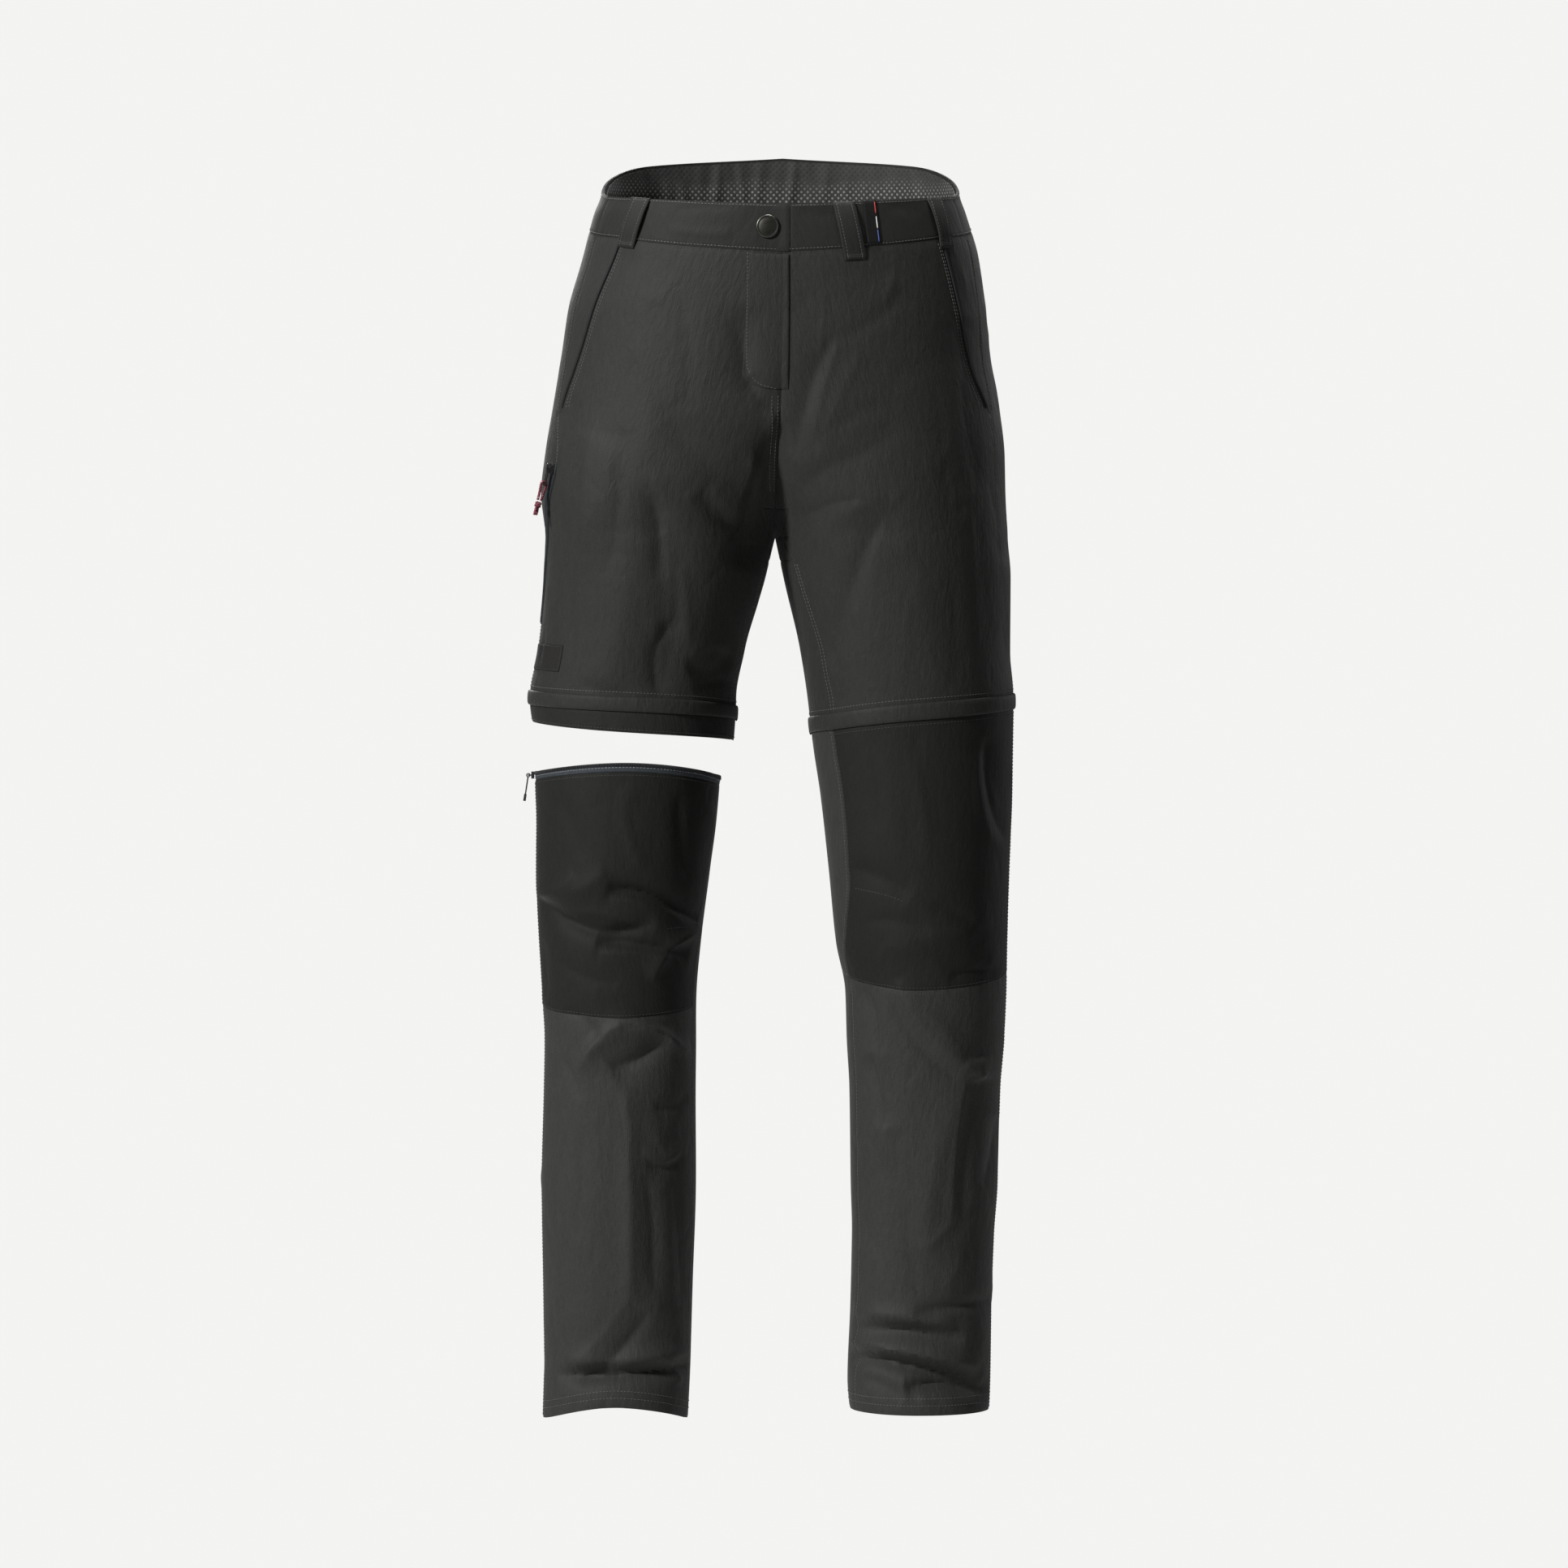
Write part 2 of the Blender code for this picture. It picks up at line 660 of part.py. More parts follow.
def local_frame(point, normal, down, tilt=0.0):
    """World matrix in metres: local Y runs down (lifted off the skin by tilt degrees), Z outwards."""
    along = down - (down @ normal) * normal
    along /= np.linalg.norm(along)
    across = np.cross(along, normal)
    a = math.radians(tilt)
    leaning = along * math.cos(a) + normal * math.sin(a)
    matrix = Matrix.Identity(4)
    for k, axis in enumerate((across, leaning, np.cross(across, leaning))):
        for row in range(3):
            matrix[row][k] = axis[row]
    matrix.translation = Vector(point * MM)
    return matrix


def prism(name, outline, low, high, plane, frame, finish):
    """An outline (counter-clockwise) in a local plane, made thick along the third axis."""
    order = {"xy": (0, 1, 2), "yz": (1, 2, 0), "zx": (2, 0, 1)}[plane]
    points = []
    for level in (low, high):
        for a, b in outline:
            point = [0.0, 0.0, 0.0]
            point[order[0]], point[order[1]], point[order[2]] = a, b, level
            points.append(point)
    count = len(outline)
    faces = [list(range(count))[::-1], list(range(count, 2 * count))]
    faces += [[k, (k + 1) % count, (k + 1) % count + count, k + count] for k in range(count)]
    made = solid(name, points, faces, finish)
    made.matrix_world = frame
    return made


def box(name, x, y, z, frame, finish):
    outline = [(x[0], y[0]), (x[1], y[0]), (x[1], y[1]), (x[0], y[1])]
    return prism(name, outline, z[0], z[1], "xy", frame, finish)


def circle(radius, sides):
    turns = [2 * math.pi * k / sides for k in range(sides)]
    return [(radius * math.cos(turn), radius * math.sin(turn)) for turn in turns]


def combine(target, tool, operation):
    """Joins a tool to its target, or cuts it out. The tool itself stays hidden."""
    tool.hide_render = True
    tool.display_type = "WIRE"
    step = target.modifiers.new(tool.name, "BOOLEAN")
    step.operation = operation
    step.object = tool
    return target


def slider(name, frame, bail_height, finish):
    """A zip slider: its body and the bail over it, which runs along the zip (local Y)."""
    outline = [(-2.4, 5), (-3.1, 3.5), (-3.1, -2.5), (-2.0, -4), (2.0, -4), (3.1, -2.5), (3.1, 3.5), (2.4, 5)]
    body = prism(name, outline, 0, 2.4, "xy", frame, finish)
    top = bail_height
    arch = [(-3.6, 2.0), (-2.6, 2.0), (-2.6, top - 1.0), (2.6, top - 1.0), (2.6, 2.0), (3.6, 2.0)]
    arch += [(3.6, top - 0.6), (3.0, top), (-3.0, top), (-3.6, top - 0.6)]
    bail = prism(name + "_bail", arch, -0.55, 0.55, "yz", frame, finish)
    return combine(body, bail, "UNION")


def flat_pull(name, frame, finish):
    """A flat tab whose eye goes round a bail, with a slot for a cord. Local X is its hinge axis."""
    tab = box(name, (-2.2, 2.2), (-0.5, 16), (-0.5, 0.5), frame, finish)
    eye = box(name + "_eye", (-1.25, 1.25), (0.5, 5.0), (-2, 2), frame, finish)
    slot = box(name + "_slot", (-1.5, 1.5), (11.2, 14.4), (-2, 2), frame, finish)
    return combine(combine(tab, eye, "DIFFERENCE"), slot, "DIFFERENCE")


def rod_pull(name, frame, finish):
    """A thin pull with a ring round a bail's bar and a moulded end. Local X is its hinge axis."""
    ring = prism(name, circle(1.9, 16), -0.7, 0.7, "yz", frame, finish)
    rod = box(name + "_rod", (-0.6, 0.6), (1.5, 17.5), (-0.6, 0.6), frame, finish)
    end = [(-0.7, 16.5), (0.7, 16.5), (1.6, 20.0), (1.3, 22.5), (-1.3, 22.5), (-1.6, 20.0)]
    end = prism(name + "_end", end, -1.1, 1.1, "xy", frame, finish)
    hole = prism(name + "_hole", circle(1.0, 16), -2, 2, "yz", frame, finish)
    return combine(combine(combine(ring, rod, "UNION"), end, "UNION"), hole, "DIFFERENCE")


def cord_tube(name, route, diameter, finish):
    """A cord along a smooth route through points in millimetres."""
    ends = [route[0]] + [(a + b) / 2 for a, b in zip(route, route[1:])] + [route[-1]]
    points = [route[0]]
    for k in range(1, len(route) - 1):
        for t in (0.25, 0.5, 0.75, 1.0):
            a, b, c = ends[k], route[k], ends[k + 1]
            points.append((1 - t) ** 2 * a + 2 * t * (1 - t) * b + t * t * c)
    points.append(route[-1])
    curve = bpy.data.curves.new(name, "CURVE")
    curve.dimensions = "3D"
    curve.bevel_depth = diameter / 2 * MM
    curve.bevel_resolution = 2
    curve.use_fill_caps = True
    spline = curve.splines.new("POLY")
    spline.points.add(len(points) - 1)
    for target, point in zip(spline.points, points):
        target.co = (*(point * MM), 1)
    made = bpy.data.objects.new(name, curve)
    curve.materials.append(material(name, finish))
    bpy.context.scene.collection.objects.link(made)
    return made


def gusset_rows(tube):
    """Rows of the gusset's tip, of the crotch and of the gusset's foot on the leg."""
    return tube.row["crotch_turn"] + 1, tube.row["crotch"], tube.row["gusset_foot"]


def make_panels(skin, left, right, off):
    """The cut panels, each a block of cells between its seams."""
    side, last, pocket = FRONT_CELLS, FRONT_CELLS + BACK_CELLS, POCKET_COLUMN
    for word, tube in (("right", right), ("left", left)):
        row = tube.row
        inseam = INSEAM_COLUMN[tube.side]
        tip, crotch, _ = gusset_rows(tube)
        front = [(tube, row["waist_seam"], row["fly_foot"], 0, pocket)]
        front += [(tube, row["fly_foot"], tip, 0, side), (tube, tip, crotch, 1, side)]
        front += [(tube, crotch, row["gusset_foot"], inseam, side)]
        front += [(tube, row["gusset_foot"], row["strip_foot"], inseam, side)]
        panel(skin, word + "_front", front, SHELL)
        back = [(tube, row["waist_seam"], tip, side, last), (tube, tip, row["gusset_foot"], side, last - 1)]
        back += [(tube, row["gusset_foot"], row["strip_foot"], side, last)]
        back += [(tube, row["gusset_foot"], row["strip_foot"], 0, inseam)]
        panel(skin, word + "_back", back, SHELL)
        bearer = [(tube, row["waist_seam"], row["fly_foot"], pocket, side)]
        panel(skin, word + "_pocket_bearer", bearer, SHELL)
    diamond = []
    for tube in (left, right):
        tip, crotch, foot = gusset_rows(tube)
        inseam = INSEAM_COLUMN[tube.side]
        diamond += [(tube, tip, crotch, 0, 1), (tube, tip, crotch, last - 1, last)]
        diamond += [(tube, crotch, foot, 0, inseam), (tube, crotch, foot, last - 1, last)]
    panel(skin, "gusset", diamond, SHELL, gap=GUSSET_GAP)

    for word, tube in (("right", right), ("left", left)):
        top, foot = tube.row["waist_top"], tube.row["waist_seam"]
        panel(skin, f"waistband_{word}_front", [(tube, top, foot, 0, side)], BAND, BAND_WALL)
    whole = [(tube, tube.row["waist_top"], tube.row["waist_seam"], side, last) for tube in (left, right)]
    panel(skin, "waistband_back", whole, BAND, BAND_WALL)

    facing = [(right, right.row["strip_foot"], right.row["shorts_foot"], 0, last)]
    panel(skin, "right_zip_facing", facing, TAPE)
    row = left.row
    knee_edge = INSEAM_COLUMN[LEFT]
    inner_back = last - 2
    panel(skin, "left_knee", [(left, row["strip_foot"], row["knee_foot"], knee_edge, side)], KNEE)
    inner = [(left, row["strip_foot"], row["knee_foot"], 0, knee_edge)]
    inner += [(left, row["strip_foot"], row["knee_foot"], inner_back, last)]
    panel(skin, "left_inner_knee", inner, SHIN)
    panel(skin, "left_shin", [(left, row["knee_foot"], row["hem"], knee_edge, side)], SHIN)
    back = [(left, row["strip_foot"], row["knee_foot"], side, inner_back)]
    back += [(left, row["knee_foot"], row["hem"], side, last)]
    back += [(left, row["knee_foot"], row["hem"], 0, knee_edge)]
    panel(skin, "left_lower_back", back, SHIN)

    row = off.row
    edge = INSEAM_COLUMN[RIGHT]
    panel(skin, "right_leg_tape", [(off, row["tape_top"], row["tape_foot"], 0, last)], TAPE)
    panel(skin, "right_knee", [(off, row["tape_foot"], row["knee_foot"], edge, side)], KNEE)
    panel(skin, "right_shin", [(off, row["knee_foot"], row["hem"], edge, side)], SHIN)
    back = [(off, row["tape_foot"], row["hem"], side, last), (off, row["tape_foot"], row["hem"], 0, edge)]
    panel(skin, "right_lower_back", back, SHIN)


def make_waist_mesh(skin, left, right):
    """The mesh inside the back of the band. It is gathered, so its wall waves towards the inside."""
    last = FRONT_CELLS + BACK_CELLS
    low = -(BAND_WALL + TRIM_GAP)
    spots = []
    for row in stops(left.row["waist_top"] + 0.1, left.row["waist_seam"] + 0.3):
        line = [skin.at(left, row, c) for c in np.arange(FRONT_CELLS, last + 0.1, 0.5)]
        line += [skin.at(right, row, c) for c in np.arange(last - 0.5, FRONT_CELLS - 0.1, -0.5)]
        gathered = []
        for k, (point, normal) in enumerate(line):
            from_end = min(k, len(line) - 1 - k)
            depth = GATHER_DEPTH * min(1.0, from_end / 3) if k % 2 else 0.0
            gathered.append((point - normal * depth, normal))
        spots.append(gathered)
    slab("waist_mesh", spots, low - MESH_WALL, low, MESH)


def make_strips(skin, left, right):
    """The raised bands over the leg zips."""
    last = FRONT_CELLS + BACK_CELLS
    for word, tube in (("right", right), ("left", left)):
        top, foot = tube.row["strip_top"], tube.row["strip_foot"]
        ring_wall(skin, f"{word}_zip_strip", tube, stops(top + 0.03, foot + 0.05), last, SHELL)


def ring_wall(skin, name, tube, rows, last, finish):
    """A band right round a leg, over its skin, through the given rows."""
    profile = [(row, TRIM_GAP) for row in rows] + [(row, TRIM_GAP + STRIP_WALL) for row in reversed(rows)]
    points = []
    for row, lift in profile:
        for column in range(last):
            point, normal = skin.at(tube, row, column)
            points.append(point + normal * lift)
    faces = []
    for ring in range(len(profile)):
        here, there = ring * last, (ring + 1) % len(profile) * last
        for k in range(last):
            n = (k + 1) % last
            face = [here + k, here + n, there + n, there + k]
            faces.append(face if tube.side == LEFT else face[::-1])
    return solid(name, points, faces, finish)


def make_front_trims(skin, left, right):
    """Fly, pocket bindings, snap, belt loops, tab and label."""
    for word, tube in (("right", right), ("left", left)):
        spots = []
        for row in stops(tube.row["waist_seam"] + 0.55, tube.row["fly_foot"] - 0.1):
            spots.append([skin.at(tube, row, POCKET_COLUMN - w) for w in (0.22, 0.12, 0.02)])
        slab(f"{word}_pocket_edge", spots, TRIM_GAP, TRIM_GAP + 1.0, BINDING)

    seam, foot = right.row["waist_seam"], right.row["fly_foot"]
    spots = [[skin.at(right, row, column) for column in FLY_COLUMNS] for row in stops(seam + 0.1, foot - 1)]
    rounded = [foot - 0.08 - 0.9 * (1 - math.sqrt(1 - (column / 2.02) ** 2)) for column in FLY_COLUMNS]
    spots.append([skin.at(right, row, column) for column, row in zip(FLY_COLUMNS, rounded)])
    slab("fly_placket", spots, FLY_GAP, FLY_GAP + 1.2, SHELL)

    row, column = skin.find(right, *SNAP_PLACE)
    profile = [(0, 3.4), (6.0, 3.2), (8.4, 2.7), (10.0, 1.6), (10.0, 0.6), (0, 0.6)]
    turned("snap_cap", profile, skin.at(right, row, column), GUNMETAL)

    def bowed(level):
        return lambda part: TRIM_GAP + level + LOOP_BOW * math.sin(math.pi * part)

    for name, tube, top, foot, back in LOOPS:
        spots = strap_spots(skin, tube_of(tube, left, right), top, foot, LOOP_WIDTH, 7, 3, back)
        slab(name, spots, bowed(0), bowed(LOOP_WALL), BAND)
    spots = strap_spots(skin, left, TAB_TOP, TAB_FOOT, TAB_WIDTH, 4, 3)
    slab("loop_tab", spots, TRIM_GAP, TRIM_GAP + 1.0, BINDING)
    top = skin.find(right, LABEL_SIDE, LABEL_TOP)[0]
    foot = skin.find(right, LABEL_SIDE, LABEL_FOOT)[0]
    spots = [[skin.at(right, row, column) for column in stops(*LABEL_COLUMNS)] for row in stops(top, foot)]
    slab("thigh_label", spots, TRIM_GAP, TRIM_GAP + 0.8, LABEL)


def tube_of(side, left, right):
    return left if side == LEFT else right


def make_thigh_zip(skin, right):
    """The zipped thigh pocket on the side seam, with its slider, tab and knotted cord."""
    rows = np.arange(0, right.rows, 0.05)

    def seam_row(z):
        return min(rows, key=lambda row: abs(skin.at(right, row, FRONT_CELLS)[0][2] - z))

    spots = []
    for row in stops(seam_row(ZIP_TOP), seam_row(ZIP_FOOT)):
        spots.append([skin.at(right, row, FRONT_CELLS + w) for w in (-0.22, 0, 0.22)])
    slab("thigh_zip", spots, TRIM_GAP, TRIM_GAP + 1.1, TAPE)

    point, normal = skin.at(right, seam_row(SLIDER_HEIGHT), FRONT_CELLS)
    below = skin.at(right, seam_row(SLIDER_HEIGHT - 10), FRONT_CELLS)[0]
    seat = point + normal * (TRIM_GAP + 1.1 + 0.7)
    slider("thigh_zip_slider", local_frame(seat, normal, below - point), 5.3, BLACK_METAL)
    pivot = seat + normal * 3.35
    frame = local_frame(pivot, normal, below - point, THIGH_PULL_LEAN)
    flat_pull("thigh_zip_pull", frame, GUNMETAL)

    def spot(x, y, z):
        return np.array(frame @ Vector((x * MM, y * MM, z * MM))) / MM

    def strand(away):
        return [spot(0.3, 12.8, 0.35 * away), spot(0.2, 13.0, 1.6 * away), spot(0, 15.5, 2.3 * away),
                spot(-0.5, 19, 2.1 * away), spot(-0.9, 24, 1.7 * away),
                spot(-1.2, THIGH_KNOT_DROP - 3.8, 1.5 * away)]

    cord_tube("thigh_pull_cord", strand(1)[::-1] + strand(-1), CORD_WIDTH, CORD_RED)
    knot_frame = frame @ Matrix.Translation(Vector((-1.2 * MM, THIGH_KNOT_DROP * MM, 0)))
    outline = [(3.9 * math.cos(a) * (1 + 0.12 * math.cos(3 * a)), 3.3 * math.sin(a))
               for a in np.linspace(0, 2 * math.pi, 16, endpoint=False)]
    knot = prism("thigh_pull_knot", outline, -2.9, 2.9, "xy", knot_frame, CORD_RED)
    bevel = knot.modifiers.new("round", "BEVEL")
    bevel.width = 1.6 * MM
    bevel.segments = 2
    for k, (foot, depth) in enumerate(((-3.0, 1.2), (0.8, -1.0))):
        tail = [spot(foot * 0.4 - 1.2, THIGH_KNOT_DROP + 3.7, depth),
                spot(foot * 0.8 - 1.2, THIGH_KNOT_DROP + 5.9, depth * 1.3),
                spot(foot * 1.3 - 1.2, THIGH_KNOT_DROP + 9.0, depth * 1.6)]
        cord_tube(f"thigh_pull_tail_{k + 1}", tail, CORD_WIDTH, CORD_RED)


def make_leg_pull(skin, off):
    """The slider at the outer end of the leg's zip, with its thin hanging pull."""
    point, normal = skin.at(off, off.row["tape_top"] + 0.45, FRONT_CELLS)
    ahead = skin.at(off, off.row["tape_top"] + 0.45, FRONT_CELLS - 0.5)[0]
    seat = point + normal * 0.9
    slider("right_leg_slider", local_frame(seat, normal, ahead - point), 5.6, BLACK_METAL)
    pivot = seat + normal * 5.1
    frame = local_frame(pivot, normal, np.array([0, 0, -1.0]), LEG_PULL_LEAN)
    rod_pull("right_leg_pull", frame, BLACK_METAL)


def main():
    for existing in list(bpy.data.objects):
        bpy.data.objects.remove(existing)
    left = Tube(LEFT, torso_sections(LEFT, LEFT_LEG), LEFT_SEAMS, LEFT_ROWS)
    right = Tube(RIGHT, torso_sections(RIGHT, RIGHT_LEG), RIGHT_SEAMS, RIGHT_ROWS)
    off = Tube(RIGHT, ring_sections(TAKEN_OFF_LEG), TAKEN_OFF_SEAMS, TAKEN_OFF_ROWS)
    skin = Skin([left, right, off])
    make_panels(skin, left, right, off)
    make_waist_mesh(skin, left, right)
    make_strips(skin, left, right)
    make_front_trims(skin, left, right)
    make_thigh_zip(skin, right)
    make_leg_pull(skin, off)


main()
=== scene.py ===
"""Looks of the convertible zip-off trousers: cloth, seams, stitching, zips and trims.

The tables are those of the CAD part, in millimetres, apart from a few smoother rows near the crotch.
The same grid of skin points is worked out here with finer cells, so each piece of cloth lies where its
CAD solid lies.
"""

import json
import math

import bpy
import numpy as np
from bpy.props import FloatProperty, FloatVectorProperty, IntProperty, PointerProperty
from mathutils import Matrix, Vector, noise

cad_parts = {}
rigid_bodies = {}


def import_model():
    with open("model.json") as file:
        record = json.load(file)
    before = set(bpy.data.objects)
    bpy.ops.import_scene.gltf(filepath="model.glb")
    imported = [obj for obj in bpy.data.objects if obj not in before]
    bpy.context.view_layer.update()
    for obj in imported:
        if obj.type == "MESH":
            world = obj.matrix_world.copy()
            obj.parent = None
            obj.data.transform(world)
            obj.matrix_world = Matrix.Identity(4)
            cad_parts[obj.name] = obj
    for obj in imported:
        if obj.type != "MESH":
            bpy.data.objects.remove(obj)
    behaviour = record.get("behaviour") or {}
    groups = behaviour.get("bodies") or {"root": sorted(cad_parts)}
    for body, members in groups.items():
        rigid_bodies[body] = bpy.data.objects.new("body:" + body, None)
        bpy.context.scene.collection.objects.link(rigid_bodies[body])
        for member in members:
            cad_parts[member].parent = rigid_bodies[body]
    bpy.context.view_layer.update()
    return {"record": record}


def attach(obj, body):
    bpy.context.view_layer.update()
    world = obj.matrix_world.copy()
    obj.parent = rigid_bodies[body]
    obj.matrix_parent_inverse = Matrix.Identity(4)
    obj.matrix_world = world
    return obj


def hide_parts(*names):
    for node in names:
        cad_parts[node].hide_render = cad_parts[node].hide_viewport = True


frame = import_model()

bl_info = {
    "name": "Convertible zip-off trousers",
    "version": (1, 0, 0),
    "blender": (4, 5, 0),
    "location": "View3D > Sidebar > Trousers",
    "description": "Builds the cloth, stitching, zips and trims of the trousers over their CAD part",
    "category": "Add Mesh",
}

MM = 0.001
BODY = "trousers"

# Sizes that the CAD part also has, in mm
ROUNDNESS = 2.15
FRONT_CELLS = 14
BACK_CELLS = 10
LAST = FRONT_CELLS + BACK_CELLS
POCKET_COLUMN = 12
BAND_WALL = 2.6
TRIM_GAP = 0.45
EDGE_DROP = 0.42
OVERLAP = 1 / 3  # how far the closure reaches past the middle, in columns
FLY_GAP = 0.8
LOOP_WIDTH = 18.4
LOOP_WALL = 1.5
LOOP_BOW = 2.4
METAL_EDGE = 0.00022  # width of the softened edges, in metres
EDGE_SHARE = 0.42  # how far a cut edge rounds down, in walls
SHARP_ANGLE = math.radians(55)
SECTION_SPOTS = 361  # points round a section
CRUMPLE_SEED, CRUMPLE_AREA = 31, 1500  # one small wrinkle for each so many square millimetres
MESH_WALL, MESH_DEEPEST = 0.7, 3.4  # the waist mesh and its deepest pleat
STITCH_LIFT, STITCH_SHARE = 0.12, 0.68  # height over the cloth, and part of the pitch taken up
ROUND_SPOTS, DOWN_SPOTS = 600, 500  # points along a line of stitching
TAB_WIDTH = 12.2
TAB_TOP, TAB_FOOT = (76.5, -10), (81, -47)
ZIP_TOP, ZIP_FOOT = -234.0, -372.0
THIGH_KNOT_DROP = 33.2
LABEL_TOP, LABEL_FOOT = -389.0, -411.5
LABEL_COLUMNS = (10.5, 13.6)
INSEAM_COLUMN = {-1: 1, 1: 2}
RIGHT, LEFT = -1, 1

# Belt loops: name, side, top and foot as (x, z), whether on the back
LOOPS = (
    ("loop_right_front", RIGHT, (-115, -4), (-131, -50), False),
    ("loop_left_front", LEFT, (54, -9), (65, -61), False),
    ("loop_left_side", LEFT, (131, -4), (142, -50), False),
    ("loop_back_right", RIGHT, (-80, 22), (-84, -24), True),
    ("loop_back_left", LEFT, (84, 22), (88, -24), True),
)

TORSO = """
   z  right  left front back split reach centre
  45 -151.0 153.0   104  108   0.0 151.0    3.0
   0 -152.6 154.7   105  110   0.0 154.0    3.0
 -20 -159.5 161.0   107  112   4.0 158.0    3.0
 -58 -169.4 172.0   110  118  12.0 165.0    3.0
-100 -181.3 177.6   112  124  25.0 165.0    3.0
-142 -187.6 182.0   113  129  38.0 160.0    2.5
-184 -194.6 189.5   113  131  55.0 151.0    1.5
-226 -201.6 194.2   112  128  75.0 132.0   -0.5
-260 -205.1 195.0   110  123  89.5 112.0   -2.0
-280 -203.0 196.0   108  119  97.0 104.0   -3.0
-292 -201.2 196.8   107  116  99.2 101.0   -3.4
-298 -200.6 197.0   107  115 100.0 100.0   -3.5
"""
LEFT_LEG = """
    z inner outer front back
 -331   3.5 199.5   104  108
 -394  18.0 199.2    97   98
 -436  24.5 202.0    93   93
 -478  29.4 201.5    90   88
 -520  35.7 201.0    88   83
 -583  42.7 198.5    85   75
 -646  49.0 196.7    78   72
 -688  57.0 196.0    72   72
 -730  58.3 194.2    67   73
 -772  60.6 190.9    64   73
 -856  61.8 188.6    60   72
 -898  62.8 185.6    58   70
 -961  61.4 183.4    57   68
-1024  59.0 182.4    56   66
-1055  61.5 181.2    56   66
"""
RIGHT_LEG = """
   z inner  outer front back
-331 -11.5 -201.6   104  108
-352 -17.5 -203.0   102  105
-394 -29.5 -207.6    97   98
-436 -37.0 -215.0    93   93
-480 -39.5 -208.0    92   92
"""
TAKEN_OFF_LEG = """
    z inner  outer front back
 -480 -49.5 -210.0    84   80
 -505 -51.0 -210.3    84   80
 -541 -54.0 -209.3    83   76
 -583 -59.5 -209.6    80   71
 -646 -67.5 -207.0    74   66
 -688 -71.2 -204.6    69   66
 -730 -71.6 -202.3    65   67
 -772 -72.0 -203.0    63   68
 -856 -71.8 -205.0    61   68
 -940 -74.6 -203.8    59   66
-1003 -76.4 -203.0    58   64
-1060 -79.0 -204.4    58   64
"""
RIGHT_SEAMS = """
   z side inseam pocket
  40   40     16     44
 -40   38     17     38
-120   38     18     25
-160   37     19     15
-191   40     19      4
-222   52     20     20
-240   54     20     28
-265   46     20     34
-300   24     20     40
-331   10     27     40
-390    4     22     38
-480    4     32     36
"""
TAKEN_OFF_SEAMS = """
    z side inseam pocket
 -480    4     22     34
-1060    4     20     27
"""
LEFT_SEAMS = """
    z side inseam pocket
   40   36     30     44
  -40   38     31     38
 -120   42     33     25
 -160   45     34     15
 -191   46     35      4
 -222   48     37     20
 -265   50     40     32
 -298   51     44     34
 -317   51     54     34
 -345   42     58     36
 -394   18     61     38
 -440    6     63     38
 -510    5     64     36
 -594    5     58     34
 -628    5     46     32
 -671    5     30     31
-1060    5     25     26
"""
SHORTS_ROWS = """
name        inner_front front side back inner_back cells
waist_top           -13   -10   -5   24         32     2
waist_seam          -54   -48  -38  -21        -11     5
fly_foot           -172  -180 -191 -184       -178     3
crotch_turn        -262  -258 -252 -257       -261     3
crotch             -298  -293 -291 -293       -298     1
"""
LEFT_ROWS = SHORTS_ROWS + """
gusset_foot  -318  -313  -311  -313  -318  5
strip_top    -452  -437  -431  -446  -454  1
strip_foot   -465  -451  -444  -459  -467 12
knee_foot    -671  -684  -672  -664  -668 17
hem         -1049 -1051 -1050 -1048 -1049  0
"""
RIGHT_ROWS = SHORTS_ROWS + """
gusset_foot -318 -313 -311 -313 -318 5
strip_top   -442 -432 -428 -438 -443 1
strip_foot  -453 -444 -440 -450 -455 1
shorts_foot -472 -463 -456 -463 -473 0
"""
TAKEN_OFF_ROWS = """
name      inner_front front  side  back inner_back cells
tape_top         -504  -489  -499  -500       -503     1
tape_foot        -511  -497  -506  -508       -510    11
knee_foot        -700  -708  -701  -694       -697    17
hem             -1058 -1044 -1057 -1056      -1058     0
"""

